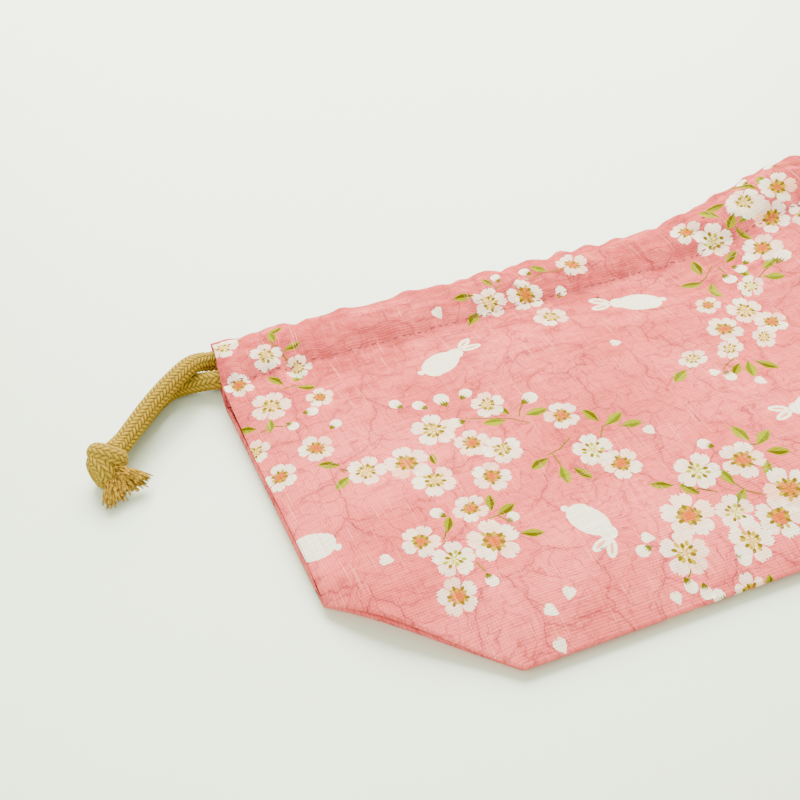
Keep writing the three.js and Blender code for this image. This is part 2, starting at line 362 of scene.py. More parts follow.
    def _printed(self, tree: Tree, side: Side, base: Socket) -> Socket:
        """Lays the print on the ground, as fields of colour with their own cover.

        Args:
            tree: The material's node tree.
            side: Which face of the cloth it is.
            base: Colour of the ground.

        Returns:
            Colour with the print, paler on the wrong side.
        """
        ink = add_node(tree, "ShaderNodeVertexColor", layer_name="print")
        cover = add_node(tree, "ShaderNodeMath", {0: ink.outputs[1], 1: side.value}, operation="MULTIPLY")
        dyes = {0: cover, 6: base, 7: ink.outputs[0]}
        base = add_node(tree, "ShaderNodeMix", dyes, data_type="RGBA").outputs[2]
        if side is Side.WRONG:
            through = add_node(tree, "ShaderNodeMapRange", {0: cover, 1: -1.0, 2: 1.0, 3: 0.0, 4: 1.0})
            dyes = {0: through, 6: linear(self.wrong_side), 7: base}
            base = add_node(tree, "ShaderNodeMix", dyes, data_type="RGBA").outputs[2]
        return base

    def _slubs(self, tree: Tree, place: Socket, base: Socket) -> Socket:
        """Draws the thick pale stretches of single threads.

        Args:
            tree: The material's node tree.
            place: Places on the flat cloth, in mm.
            base: Colour under them.

        Returns:
            Colour with the slubs.
        """
        for scale, low, strength in SLUBS:
            lie = add_node(tree, "ShaderNodeMapping", {"Vector": place, "Scale": scale})
            slub = add_node(tree, "ShaderNodeTexNoise", {"Vector": lie, "Scale": 1.0, "Detail": 1.0})
            shown = {0: slub, 1: low, 2: low + 0.06, 3: 0.0, 4: strength}
            share = add_node(tree, "ShaderNodeMapRange", shown)
            dyes = {0: share, 6: base, 7: linear(self.slub)}
            base = add_node(tree, "ShaderNodeMix", dyes, data_type="RGBA").outputs[2]
        return base

    @staticmethod
    def _weave(tree: Tree, place: Socket, axes: Sequence[Socket]) -> Socket:
        """Makes the ribs of both sets of threads, each thread with its own shade along its length.

        Args:
            tree: The material's node tree.
            place: Places on the flat cloth, in mm.
            axes: The same places, one socket for each axis.

        Returns:
            Height of the weave.
        """
        ribs = []
        for axis, scale in ((0, (1.3, 0.06, 1.0)), (1, (0.06, 1.3, 1.0))):
            count = {0: axes[axis], 1: 2 * math.pi / WEAVE_MM}
            turn = add_node(tree, "ShaderNodeMath", count, operation="MULTIPLY")
            rib = add_node(tree, "ShaderNodeMath", {0: turn}, operation="SINE")
            lie = add_node(tree, "ShaderNodeMapping", {"Vector": place, "Scale": scale})
            thread = add_node(tree, "ShaderNodeTexNoise", {"Vector": lie, "Scale": 1.0, "Detail": 2.0})
            uneven = add_node(tree, "ShaderNodeMapRange", {0: thread, 1: 0.25, 2: 0.75, 3: -1.6, 4: 1.6})
            ribs.append(add_node(tree, "ShaderNodeMath", {0: rib, 1: uneven}, operation="ADD"))
        return add_node(tree, "ShaderNodeMath", dict(enumerate(ribs)), operation="ADD").outputs[0]


# Cotton, spun and braided. It looks dull, with painted highlight on the crowns of the plaits and painted
# shade in the dips between them.
@dataclass(frozen=True)
class CordFinish:
    """Braided cotton cord: gold-brown yarns, with painted shade where the plaits dip under each other and
    painted highlight on their crowns.
    """

    # dark is painted shade for the dips, light is painted highlight for the crowns, and middle lies between
    # them.
    dark: str = "#2C1E0A"
    middle: str = "#7A6226"
    light: str = "#BA9622"
    roughness: float = 0.82
    gloss: float = 0.06

    def material(self) -> Material:
        """Builds the cord material. The attribute "relief", 0 in a dip and 1 on a crown, sets the painted
        shade and highlight.

        Returns:
            The material.
        """
        material, tree = new_material("braided cotton cord")
        relief = add_node(tree, "ShaderNodeAttribute", attribute_name="relief")
        plait = add_node(tree, "ShaderNodeAttribute", attribute_name="plait")
        # The ramp paints shade into the dips and highlight onto the crowns of the plaits.
        ramp = add_node(tree, "ShaderNodeValToRGB", {0: relief.outputs[2]})
        plait_shade_stops = ramp.color_ramp.elements
        plait_shade_stops[0].color = linear(self.dark)
        plait_shade_stops[1].color = linear(self.light)
        plait_shade_stops[1].position = 0.95
        plait_shade_stops.new(0.5).color = linear(self.middle)
        # Single yarns run along each plait, about five to its width.
        lie = add_node(tree, "ShaderNodeMapping", {"Vector": plait.outputs[1], "Scale": (5.0, 0.5, 1.0)})
        yarn = add_node(tree, "ShaderNodeTexNoise", {"Vector": lie, "Scale": 1.0, "Detail": 3.0})
        shade = add_node(tree, "ShaderNodeMapRange", {0: yarn, 1: 0.25, 2: 0.75, 3: 0.72, 4: 1.2})
        dyed = {0: 1.0, 6: ramp, 7: shade}
        tone = add_node(tree, "ShaderNodeMix", dyed, data_type="RGBA", blend_type="MULTIPLY")
        bump = add_node(tree, "ShaderNodeBump", {"Strength": 0.5, "Distance": 0.0003, "Height": yarn})
        colour = tone.outputs[2]
        look = {"Base Color": colour, "Roughness": self.roughness, "Specular IOR Level": self.gloss}
        surface = add_node(tree, "ShaderNodeBsdfPrincipled", {**look, "Normal": bump})
        add_node(tree, "ShaderNodeOutputMaterial", {0: surface})
        return material


# Cotton, spun and twisted. It looks dull, and the twist shows as light and dark along the yarn.
@dataclass(frozen=True)
class YarnFinish:
    """Loose cotton yarn or sewing thread, with a twist that shades it."""

    name: str
    light: str
    dark: str
    twist_mm: float
    roughness: float = 0.85
    gloss: float = 0.06

    def material(self) -> Material:
        """Builds the yarn material.

        Returns:
            The material.
        """
        material, tree = new_material(self.name)
        place = add_node(tree, "ShaderNodeTexCoord").outputs["Object"]
        turns = {"Vector": place, "Scale": 1 / (self.twist_mm * MM), "Detail": 3.0}
        twist = add_node(tree, "ShaderNodeTexNoise", turns)
        share = add_node(tree, "ShaderNodeMapRange", {0: twist, 1: 0.35, 2: 0.65, 3: 0.0, 4: 1.0})
        dyes = {0: share, 6: linear(self.dark), 7: linear(self.light)}
        tone = add_node(tree, "ShaderNodeMix", dyes, data_type="RGBA")
        bump = add_node(tree, "ShaderNodeBump", {"Strength": 0.4, "Distance": 0.0002, "Height": twist})
        colour = tone.outputs[2]
        look = {"Base Color": colour, "Roughness": self.roughness, "Specular IOR Level": self.gloss}
        surface = add_node(tree, "ShaderNodeBsdfPrincipled", {**look, "Normal": bump})
        add_node(tree, "ShaderNodeOutputMaterial", {0: surface})
        return material


# Board, painted and smooth. It looks pale and even, with a soft gleam near the lights.
@dataclass(frozen=True)
class TableFinish:
    """Smooth pale table top with a faint mottle."""

    colour: str = "#D8E6C4"
    mottle: str = "#D5E3C0"
    roughness: float = 0.4
    gloss: float = 1.0

    def material(self) -> Material:
        """Builds the table material.

        Returns:
            The material.
        """
        material, tree = new_material("pale table top")
        place = add_node(tree, "ShaderNodeTexCoord").outputs["Object"]
        noise = add_node(tree, "ShaderNodeTexNoise", {"Vector": place, "Scale": 4.0, "Detail": 3.0})
        share = add_node(tree, "ShaderNodeMapRange", {0: noise, 1: 0.4, 2: 0.6, 3: 0.0, 4: 1.0})
        paints = {0: share, 6: linear(self.colour), 7: linear(self.mottle)}
        tone = add_node(tree, "ShaderNodeMix", paints, data_type="RGBA")
        colour = tone.outputs[2]
        look = {"Base Color": colour, "Roughness": self.roughness, "Specular IOR Level": self.gloss}
        surface = add_node(tree, "ShaderNodeBsdfPrincipled", look)
        add_node(tree, "ShaderNodeOutputMaterial", {0: surface})
        return material


# Form of the lying pouch


class Layer(Enum):
    """The two pieces of cloth."""

    FRONT = "front"
    BACK = "back"


@dataclass(frozen=True)
class PouchCut:
    """Sizes of the cut, in mm, with the overall ones read from the frame."""

    half_width: float
    height: float
    tuck: float = 40.0
    casing: float = 22.0
    turn_up: float = 3.0
    end_taper: float = 3.0
    cloth: float = 0.45

    @classmethod
    def from_frame(cls) -> "PouchCut":
        """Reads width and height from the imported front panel."""
        low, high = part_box("front_panel")
        return cls(half_width=round((high[0] - low[0]) * 500), height=round((high[1] - low[1]) * 1000, 1))

    @property
    def stitch_level(self) -> float:
        """Height of the casing's stitch line above the bottom fold."""
        return self.height - self.casing


# Heights of the casings' cloth in mm, as (distance from the mouth, height). The front's strand of cord
# lies 6.5 mm from the mouth and the back's 15.5 mm. The front's hem dips under its own strand and climbs
# over the back's, and the back's hem climbs over its own.
CASING_TOP = ((3, 8.9), (6.5, 10.3), (11, 10.75), (15.5, 10.6), (19.5, 9.35), (22, 8.1), (25, 7.95))
CASING_HEM = (
    (3.4, 3.1), (6.5, 1.9), (9.6, 3.1), (11.9, 8.2), (15.5, 9.75), (19.1, 8.6), (22, 7.1), (25.5, 7.0),
)
BACK_HEM = (
    (3.4, 1.05), (6.5, 1.05), (9.9, 2.4), (12.4, 7.6), (15.5, 8.95), (18.6, 7.7), (22, 1.05), (25.5, 1.05),
)


@dataclass(frozen=True)
class Folds:
    """Where points of the cloth lie in its folds: angles round them, and whether a point is on each."""

    turn: Array
    rim_turn: Array
    tuck: Array
    fold: Array
    rim: Array
    hem: Array

    def pick(self, tuck: Array, fold: Array, rim: Array, hem: Array, face: Array) -> Array:
        """Takes the value of the place that each point is on."""
        return np.select([self.tuck, self.fold, self.rim, self.hem], [tuck, fold, rim, hem], face)


@dataclass(frozen=True)
class LyingShape:
    """Where a point of flat cloth lies.

    Flat cloth is measured by u, across the width, and t, up from the bottom fold line over the face, the
    mouth fold and the hem. Below the fold line it is the tucked base.
    """

    cut: PouchCut
    fold_radius: float = 0.6
    rim_radius: float = 0.6
    belly_height: float = 10.5
    belly_spread: float = 18.0
    side_height: float = 5.0
    side_spread: float = 12.0
    valley_height: float = 7.9
    mouth_lift: float = 17.0
    rim_height: float = 7.0
    tuck_height: float = 2.25
    back_tuck_height: float = 1.45
    fold_top: float = 3.45
    slit_height: float = 3.5
    seam_gap: float = 1.5
    gape: tuple[float, float] = (22.0, 92.0)
    gape_depth: float = 80.0

    @property
    def half_turn(self) -> float:
        """Half the cloth that a bottom fold takes."""
        return math.pi * self.fold_radius / 2

    @property
    def rim_start(self) -> float:
        """t where the mouth fold starts."""
        return self.cut.height - self.rim_radius - self.fold_radius + self.half_turn

    @property
    def hem_start(self) -> float:
        """t where the mouth fold ends and the hem goes down inside."""
        return self.rim_start + math.pi * self.rim_radius

    @property
    def hem_end(self) -> float:
        """t of the hem's edge."""
        return self.hem_start + self.cut.casing + self.cut.turn_up - self.rim_radius

    def fold_line(self, u: Array) -> Array:
        """Level of the bottom fold, which slants up at the boxed corners."""
        return np.maximum(0, np.abs(u) - (self.cut.half_width - self.cut.tuck))

    def tuck_top(self, u: Array) -> Array:
        """Level of the base seam inside."""
        return np.maximum(self.cut.tuck, self.fold_line(u) + 2 * self.fold_radius + self.seam_gap)

    def tuck_end(self, u: Array) -> Array:
        """t of the base seam."""
        return 2 * self.fold_line(u) - self.tuck_top(u) + self.fold_radius - self.half_turn

    def lift(self, u: Array, v: Array) -> Array:
        """How far the mouth stands off the back, so that the pouch gapes.

        Args:
            u: Places across the cloth, in mm.
            v: Levels above the bottom fold, in mm.

        Returns:
            Rise of the front there, in mm.
        """
        cut = self.cut
        share = 0.35 * smooth(v, cut.stitch_level, cut.height)
        fall = smooth(u, self.gape[1], cut.half_width) * (1 - share)
        along = smooth(u, *self.gape) * (1 - fall)
        return self.mouth_lift * along * smooth(v, cut.height - self.gape_depth, cut.height)

    def sewn_side(self, v: Array) -> Array:
        """One along the sewn side edges, zero at the base and at the open casing ends.

        Args:
            v: Levels above the bottom fold, in mm.

        Returns:
            Share from 0 to 1.
        """
        start = self.cut.tuck + 2 * self.fold_radius + self.seam_gap
        level = self.cut.stitch_level
        return smooth(v, start, start + 8) * (1 - smooth(v, level - 9, level))

    def slit(self, u: Array) -> Array:
        """How far the tucked layers part along a slanted corner."""
        along = np.clip(self.fold_line(u) / self.cut.tuck, 0, 1)
        return self.slit_height * np.sin(np.pi * along**1.7)

    def casing_top(self, inset: Array) -> Array:
        """Height of the front casing over the cord, by distance from the mouth."""
        start = (self.rim_radius, self.rim_height + self.rim_radius)
        return curve_through([start, *CASING_TOP], inset)

    def casing_hem(self, inset: Array) -> Array:
        """Height of the hem under the cord in the front casing."""
        start = (self.rim_radius, self.rim_height - self.rim_radius)
        return curve_through([start, *CASING_HEM], inset)

    def back_hem(self, inset: Array) -> Array:
        """Height of the hem in the back casing."""
        return curve_through([(self.rim_radius, 1.0), *BACK_HEM], inset)

    def front_face(self, u: Array, v: Array) -> Array:
        """Height of the front face before the mouth is lifted.

        Args:
            u: Places across the cloth, in mm.
            v: Levels above the bottom fold, in mm.

        Returns:
            Height in mm.
        """
        cut = self.cut
        from_fold = np.maximum(0, v - self.fold_line(u) - self.fold_radius)
        rise = self.belly_height - self.fold_top
        belly = self.fold_top + rise * (1 - np.exp(-from_fold / self.belly_spread))
        from_side = cut.half_width - np.abs(u)
        side = blend(belly, self.side_height, np.exp(-from_side / self.side_spread))
        lying = blend(belly, side, self.sewn_side(v)) + self.slit(u) * np.exp(-from_fold / 16)
        level = cut.stitch_level
        face = blend(lying, self.valley_height, smooth(v, level - 30, level - cut.turn_up))
        return np.where(v > level, self.casing_top(cut.height - v), face)

    def ripples(self, u: Array, v: Array) -> Array:
        """Puckers at the stitch line and the rim, and a gentle unevenness of the belly.

        Args:
            u: Places across the cloth, in mm.
            v: Levels above the bottom fold, in mm.

        Returns:
            Height to add, in mm.
        """
        cut = self.cut
        level = cut.stitch_level
        stitch = 0.6 * waves(u + 0.25 * (v - level), 9, 11) * np.exp(-np.abs(v - level) / 8)
        casing = 0.55 * waves(u + 0.45 * (v - level), 12, 12) * smooth(v, level, level + 8)
        belly = 0.9 * waves(u + 0.6 * v, 85, 13) + 0.5 * waves(v - 0.4 * u, 48, 14)
        inside = smooth(v - self.fold_line(u), 4, 45) * smooth(cut.half_width - np.abs(u), 0, 30)
        return stitch + casing + belly * inside * (1 - smooth(v, level - 25, level))

    def place(self, layer: Layer, u: Array, t: Array) -> Array:
        """Points of the lying cloth in the frame.

        Args:
            layer: Which piece of cloth.
            u: Places across the flat cloth, in mm.
            t: Places up the flat cloth, in mm.

        Returns:
            Points in mm, one row each.
        """
        bottom = self.fold_line(u)
        below = t - bottom
        at = Folds(
            turn=np.clip(below, -self.half_turn, self.half_turn) / self.fold_radius,
            rim_turn=np.clip(t - self.rim_start, 0, math.pi * self.rim_radius) / self.rim_radius,
            tuck=below < -self.half_turn,
            fold=np.abs(below) <= self.half_turn,
            rim=(t > self.rim_start) & (t < self.hem_start),
            hem=t >= self.hem_start,
        )
        rim_centre = self.cut.height - self.rim_radius
        v = at.pick(
            tuck=bottom + self.fold_radius - below - self.half_turn,
            fold=bottom + self.fold_radius * (1 - np.cos(at.turn)),
            rim=rim_centre + self.rim_radius * np.sin(at.rim_turn),
            hem=rim_centre - (t - self.hem_start),
            face=t + self.fold_radius - self.half_turn,
        )
        x, v, z = self._front(u, v, at) if layer is Layer.FRONT else self._back(u, v, at)
        taper = self.cut.end_taper * smooth(v, self.cut.stitch_level - self.cut.turn_up, self.cut.height)
        x = x * (self.cut.half_width - taper) / self.cut.half_width
        return np.stack([x, v - self.cut.height / 2, z], axis=1)

    def _front(self, u: Array, v: Array, at: Folds) -> tuple[Array, Array, Array]:
        """Lays the front piece.

        Args:
            u: Places across the cloth, in mm.
            v: Levels above the bottom fold, in mm.
            at: Where the points lie in the folds.

        Returns:
            x, level and height in mm.
        """
        span = self.tuck_top(u) - self.fold_line(u)
        z = at.pick(
            tuck=self.tuck_height + self.slit(u) * np.clip(1 - (v - self.fold_line(u)) / span, 0, 1),
            fold=self.tuck_height + self.slit(u) + self.fold_radius * (1 + np.sin(at.turn)),
            rim=self.rim_height + self.rim_radius * np.cos(at.rim_turn),
            hem=self.casing_hem(self.cut.height - v),
            face=self.front_face(u, v),
        )
        near_rim = np.exp(-(((self.cut.height - v) / 7) ** 2))
        held = 1 - 0.75 * smooth(np.abs(u), 118, 138)
        flutter = (0.55 * waves(u, 11, 15) + 0.5 * waves(u, 27, 18)) * near_rim * held
        flutter = flutter * ~at.tuck * ~at.fold
        puckers = np.where(at.tuck | at.fold | at.hem, 0, self.ripples(u, v))
        sway = (0.42 * waves(u, 10, 16) + 0.55 * waves(u, 26, 17)) * near_rim * held
        return u, v + sway, z + self.lift(u, v) * ~at.tuck + flutter + puckers

    def _back(self, u: Array, v: Array, at: Folds) -> tuple[Array, Array, Array]:
        """Lays the back piece, which is turned over and curls up at its sewn sides.

        Args:
            u: Places across the cloth, in mm.
            v: Levels above the bottom fold, in mm.
            at: Where the points lie in the folds.

        Returns:
            x, level and height in mm.
        """
        floor = self.cut.cloth / 2
        # The sides roll up in a flat half oval that meets the underside of the front's edge.
        rise = (self.side_height - self.cut.cloth - floor) / 2 * self.sewn_side(v) + 1e-6
        edge = self.cut.half_width - 0.5 * self.sewn_side(v)
        from_side = self.cut.half_width - np.abs(u)
        girth = 2.34 * rise
        angle = np.clip(from_side / girth, 0, 1) * np.pi
        reach = np.where(from_side < girth, edge + 0.33 * rise * np.sin(angle), edge + girth - from_side)
        z = at.pick(
            tuck=np.full_like(u, self.back_tuck_height),
            fold=floor + self.fold_radius * (1 - np.sin(at.turn)),
            rim=floor + 0.4 * (1 - np.cos(at.rim_turn)),
            hem=self.back_hem(self.cut.height - v),
            face=floor + rise * (1 + np.cos(angle)),
        )
        # Its fold lies a little behind the front's, so that the front's edge shades it.
        from_fold = np.abs(v - self.fold_line(u))
        recess = (1.5 + 0.45 * self.slit(u)) * (1 - smooth(from_fold, 0, 24))
        flat = at.tuck | at.fold | at.rim | at.hem
        x = -np.sign(u) * np.where(flat, np.abs(u), reach)
        return x, v + recess * ~(at.rim | at.hem), z


# Print


@dataclass(frozen=True)
class Patch:
    """One field of printed colour, shaded from its centre outwards."""

    outline: Array
    inner: str
    outer: str
    centre: Spot
    reach: float
    cover: float = 1.0

    def ink(self, points: Array) -> Array:
        """Linear colour and cover at some points of flat cloth.

        Args:
            points: (u, t) of the points, one row each.

        Returns:
            Linear red, green, blue and cover of each.
        """
        far = np.linalg.norm(points - np.array(self.centre), axis=1) / self.reach
        share = np.clip(far, 0, 1)[:, None]
        colour = blend(np.array(linear(self.inner)), np.array(linear(self.outer)), share)
        colour[:, 3] = self.cover
        return colour


class Heart(Enum):
    """Middles of the blossoms: colour of the blotch, of the dots and of the petals' tint."""

    GOLD = ("#E8C258", "#B09400", "#F8DDBA")
    ORANGE = ("#BC5600", "#A88C00", "#FAD8B4")
    LIME = ("#DEDA70", "#9C9E00", "#F2E6C2")
    PALE = ("#C46400", "#B09400", "#FFC298")


# Half outlines as (across, along) shares: a notched petal, a leaf, a bud and its calyx. All grow along +Y.
PETAL = (
    (0.06, 0.1), (0.16, 0.24), (0.29, 0.42), (0.38, 0.58), (0.41, 0.72),
    (0.35, 0.83), (0.3, 0.86), (0.24, 0.97), (0.15, 0.93), (0.08, 1.0),
)
LEAF = ((0, 0), (0.5, 0.22), (0.92, 0.45), (0.9, 0.62), (0.55, 0.84), (0, 1.0))
BUD = ((0, 0), (0.34, 0.25), (0.46, 0.6), (0.3, 0.93), (0, 1.02))
CALYX = ((0, -0.16), (0.22, 0.1), (0.2, 0.4), (0.06, 0.2), (0, 0.48))
WHITE = "#F3ECCC"
BLUSH = "#FFC096"
STAMEN = "#725E00"
LEAF_RIM = "#908E00"
LEAF_FRESH = ("#666A00", "#8A8E00")
LEAF_DULL = ("#564E00", "#807E00")
STEM = ("#5E5204", "#787004")
STEM_WIDTH = 0.45
CALYX_GREEN = ("#544C04", "#747600")
BUD_TINT = "#F8D0AA"
FALLEN_TINT = "#F6D0AC"
INNER_EAR = "#EE9C70"


def mirrored_outline(half: Sequence[Spot]) -> Array:
    """Whole outline of a shape that starts and ends on its middle line, from its half."""
    side = np.array(half)
    return np.vstack([side, (side * [-1, 1])[-2:0:-1]])


@dataclass(frozen=True)
class Spray:
    """A spray of blossoms, as places in mm on the flat cloth.

    Attributes:
        flowers: (u, t, radius, heart, squash) of each blossom.
        leaves: (u, t, length, turn, fresh) of each leaf.
        buds: (u, t, size, turn) of each bud.
        stems: Points of each stem.
    """

    flowers: Sequence[tuple[float, float, float, Heart, float]]
    leaves: Sequence[tuple[float, float, float, float, bool]]
    buds: Sequence[tuple[float, float, float, float]]
    stems: Sequence[Sequence[Spot]]


@dataclass
class PrintDesign:
    """Sprays of small white blossoms, loose petals and rabbits, each drawn from a few simple shapes."""

    patches: list[Patch] = field(default_factory=list)
    rng: np.random.Generator = field(default_factory=lambda: np.random.default_rng(21))

    def add(self, shape: Array, at: Spot, turn: float, inner: str, outer: str, **more: float) -> None:
        """Puts a shape on the cloth.

        Args:
            shape: Outline about its own centre, in mm.
            at: (u, t) of that centre.
            turn: Rotation in degrees.
            inner: Colour in the middle of the shading.
            outer: Colour at its reach.
            **more: Reach and cover of the shading, if not the usual ones.
        """
        outline = turned(shape, turn) + np.array(at)
        x, y = outline.T
        if np.sum(x * np.roll(y, -1) - y * np.roll(x, -1)) < 0:
            outline = outline[::-1]
        more.setdefault("reach", float(np.abs(shape).max()))
        self.patches.append(Patch(outline, inner, outer, at, **more))

    @staticmethod
    def oval(width: float, height: float, sides: int) -> Array:
        """Outline of an oval."""
        angle = np.arange(sides) * 2 * np.pi / sides
        return np.stack([np.cos(angle) * width / 2, np.sin(angle) * height / 2], axis=1)

    def petal(self, radius: float) -> Array:
        """Outline of one notched petal with a slightly ragged edge.

        Args:
            radius: Radius of its blossom, in mm.

        Returns:
            Points of the outline, in mm.
        """
        half = np.array(PETAL)
        outline = np.vstack([half, [[0, 0.84]], (half * [-1, 1])[::-1]])
        return (outline + self.rng.uniform(-0.022, 0.022, outline.shape)) * radius

    def blossom(self, at: Spot, radius: float, heart: Heart, turn: float, squash: float) -> None:
        """Draws an open blossom of five petals with its stamens.

        Args:
            at: (u, t) of its middle.
            radius: Its radius in mm.
            heart: Colours of its middle.
            turn: Its rotation in degrees.
            squash: How far it is seen from the side, 1 for face on.
        """
        blotch, dots, tint = heart.value
        flatten = np.array([[1, 0], [0, squash]])

        def put(shape: Array, angle: float, inner: str, outer: str, **more: float) -> None:
            """Puts a shape on the blossom at an angle."""
            self.add(turned(shape, angle) @ flatten, at, turn, inner, outer, **more)

        for k in range(5):
            outer = WHITE if self.rng.random() > 0.3 else tint
            inner = BLUSH if self.rng.random() > 0.4 else tint
            sheer = self.rng.uniform(0.68, 0.98)
            shape, angle = self.petal(radius), 72 * k + self.rng.uniform(-6, 6)
            put(shape, angle, inner, outer, reach=0.85 * radius, cover=sheer)
        warm = heart in (Heart.ORANGE, Heart.PALE)
        size, cover = (0.8, 0.95) if warm else (0.7, 0.75)
        put(self.oval(size * radius, size * radius, 9), 0, blotch, blotch, cover=cover)
        ring = 12 if heart is not Heart.LIME else 9
        for k in range(ring):
            angle = 360 * k / ring + self.rng.uniform(-9, 9)
            far = radius * self.rng.uniform(0.29, 0.46)
            dot = self.oval(0.18 * radius, 0.26 * radius, 6) + [0, far]
            ink = dots if k % 2 else STAMEN
            put(dot, angle, ink, ink)
            if k % 2 == 0 and heart is not Heart.ORANGE:
                filament = np.array([[-0.022, 0.08], [0.022, 0.08], [0.022, 0.3], [-0.022, 0.3]]) * radius
                put(filament, angle + 8, STAMEN, STAMEN, cover=0.8)

    def leaf(self, at: Spot, length: float, turn: float, fresh: bool) -> None:
        """Draws a pointed leaf in two greens with a pale edge, growing from at along turn.

        Args:
            at: (u, t) of its foot.
            length: Its length in mm.
            turn: Its direction in degrees.
            fresh: Whether it is of the brighter green.
        """
        length = 1.1 * length
        width = 0.4 * length
        side = np.array(LEAF) * [width / 2, length]
        dark, light = LEAF_FRESH if fresh else LEAF_DULL
        self.add(mirrored_outline(side) * [1.3, 1.05], at, turn, LEAF_RIM, LEAF_RIM)
        self.add(side, at, turn, dark, dark)
        self.add(side * [-1, 1], at, turn, light, light)

    def stem(self, points: Sequence[Spot]) -> None:
        """Draws a thin stem along some points.

        Args:
            points: (u, t) of the points.
        """
        line = np.array(points, dtype=float)
        way = np.gradient(line, axis=0)
        side = np.stack([-way[:, 1], way[:, 0]], axis=1)
        side *= (STEM_WIDTH / 2) / np.linalg.norm(side, axis=1)[:, None]
        middle = line.mean(axis=0)
        outline = np.vstack([line + side, (line - side)[::-1]]) - middle
        self.add(outline, tuple(middle), 0, *STEM)

    def bud(self, at: Spot, size: float, turn: float) -> None:
        """Draws a closed bud with its calyx at the foot, pointing along turn."""
        self.add(mirrored_outline(BUD) * size, at, turn, BUD_TINT, WHITE, reach=size)
        self.add(mirrored_outline(CALYX) * size, at, turn, *CALYX_GREEN)

    def loose_petal(self, at: Spot, size: float, turn: float) -> None:
        """Draws a single fallen petal."""
        self.add(self.petal(size) - [0, 0.55 * size], at, turn, WHITE, FALLEN_TINT, reach=0.9 * size)

    def rabbit(self, at: Spot, size: float, turn: float, mirrored: bool, curled: bool) -> None:
        """Draws a plain white hopping rabbit from ovals, its head along turn.

        Args:
            at: (u, t) of the middle of its body.
            size: Length of the body in mm.
            turn: Direction from tail to head, in degrees.
            mirrored: Whether its back is on the other side.
            curled: Whether the ears lie to one side of the head.
        """
        flip = np.array([[1, 0], [0, -1 if mirrored else 1]])

        def put(shape: Array, along: float, across: float, angle: float, inner: str = WHITE) -> None:
            """Puts a shape on the rabbit, by shares of its length."""
            moved = turned(shape, angle) + [along * size, across * size]
            self.add(moved @ flip, at, turn, inner, inner)

        put(self.oval(0.96 * size, 0.66 * size, 20), 0, 0, 4)
        put(self.oval(0.52 * size, 0.58 * size, 14), -0.22, -0.03, 0)
        put(self.oval(0.15 * size, 0.17 * size, 8), -0.53, 0.03, 0)
        put(self.oval(0.38 * size, 0.37 * size, 14), 0.46, 0.05, 10)
        ears = (58, 96) if curled else (-16, 24)
        for angle in ears:
            c, s = math.cos(math.radians(angle)), math.sin(math.radians(angle))
            along, across = 0.54 + 0.34 * c, 0.06 + 0.34 * s
            put(self.oval(0.46 * size, 0.21 * size, 12), along, across, angle)
            put(self.oval(0.3 * size, 0.07 * size, 8), along, across, angle, INNER_EAR)

    def spray(self, spray: Spray, move: Spot) -> None:
        """Draws a spray of stems, leaves, buds and blossoms, shifted by a move.

        Args:
            spray: The spray.
            move: Shift of the whole spray, in mm.
        """
        du, dt = move
        for points in spray.stems:
            self.stem([(u + du, t + dt) for u, t in points])
        for u, t, length, turn, fresh in spray.leaves:
            self.leaf((u + du, t + dt), length, turn, fresh)
        for u, t, size, turn in spray.buds:
            self.bud((u + du, t + dt), size, turn)
        for u, t, radius, heart, squash in spray.flowers:
            self.blossom((u + du, t + dt), radius, heart, self.rng.uniform(0, 72), squash)


G, O, L, P = Heart.GOLD, Heart.ORANGE, Heart.LIME, Heart.PALE

# Sprays, placed as listed.
SPRAY_LEFT = Spray(
    flowers=[
        (-137, 146, 5.4, G, 1), (-124, 137, 5.6, G, 1), (-115, 130, 5.0, G, 0.9), (-135, 129, 5.0, O, 1),
        (-129, 116, 6.6, G, 1), (-114, 113, 5.0, O, 0.9), (-123, 92, 5.6, O, 1), (-136, 87, 5.2, O, 1),
        (-139, 101, 4.6, G, 1),
    ],
    leaves=[
        (-122, 146, 6, -60, False), (-120, 142, 5, 10, True), (-118, 137, 5.5, -75, False),
        (-122, 124, 6, 30, False), (-119, 124, 6.5, -50, True), (-119, 121, 5.5, -110, False),
        (-136, 109, 5, 60, False), (-133, 105, 5, -20, True),
    ],
    buds=[(-127, 106, 4, -150), (-121, 108, 4.4, -100), (-131, 147, 4, 60), (-116, 98, 4, -60)],
    stems=[
        [(-122, 144), (-119, 138), (-117, 132)], [(-124, 122), (-119, 122), (-115, 118)],
        [(-136, 107), (-131, 107), (-126, 104)],
    ],
)
SPRAY_TOP = Spray(
    flowers=[
        (-45, 135, 6.2, G, 1), (-32, 134, 6.6, P, 1), (-10, 142, 6.4, O, 0.95), (-29, 121, 6.2, G, 0.95),
    ],
    leaves=[
        (-50, 138, 6, 70, False), (-50, 133, 6.5, 130, False), (-20, 141, 6, 40, True),
        (-41, 141, 5, 20, False),
    ],
    buds=[(-26, 143, 4.2, 30), (-21, 130, 4.4, -40), (-38, 143, 4, 10)],
    stems=[[(-50, 136), (-45, 137), (-38, 141)], [(-30, 140), (-22, 141), (-14, 140)]],
)
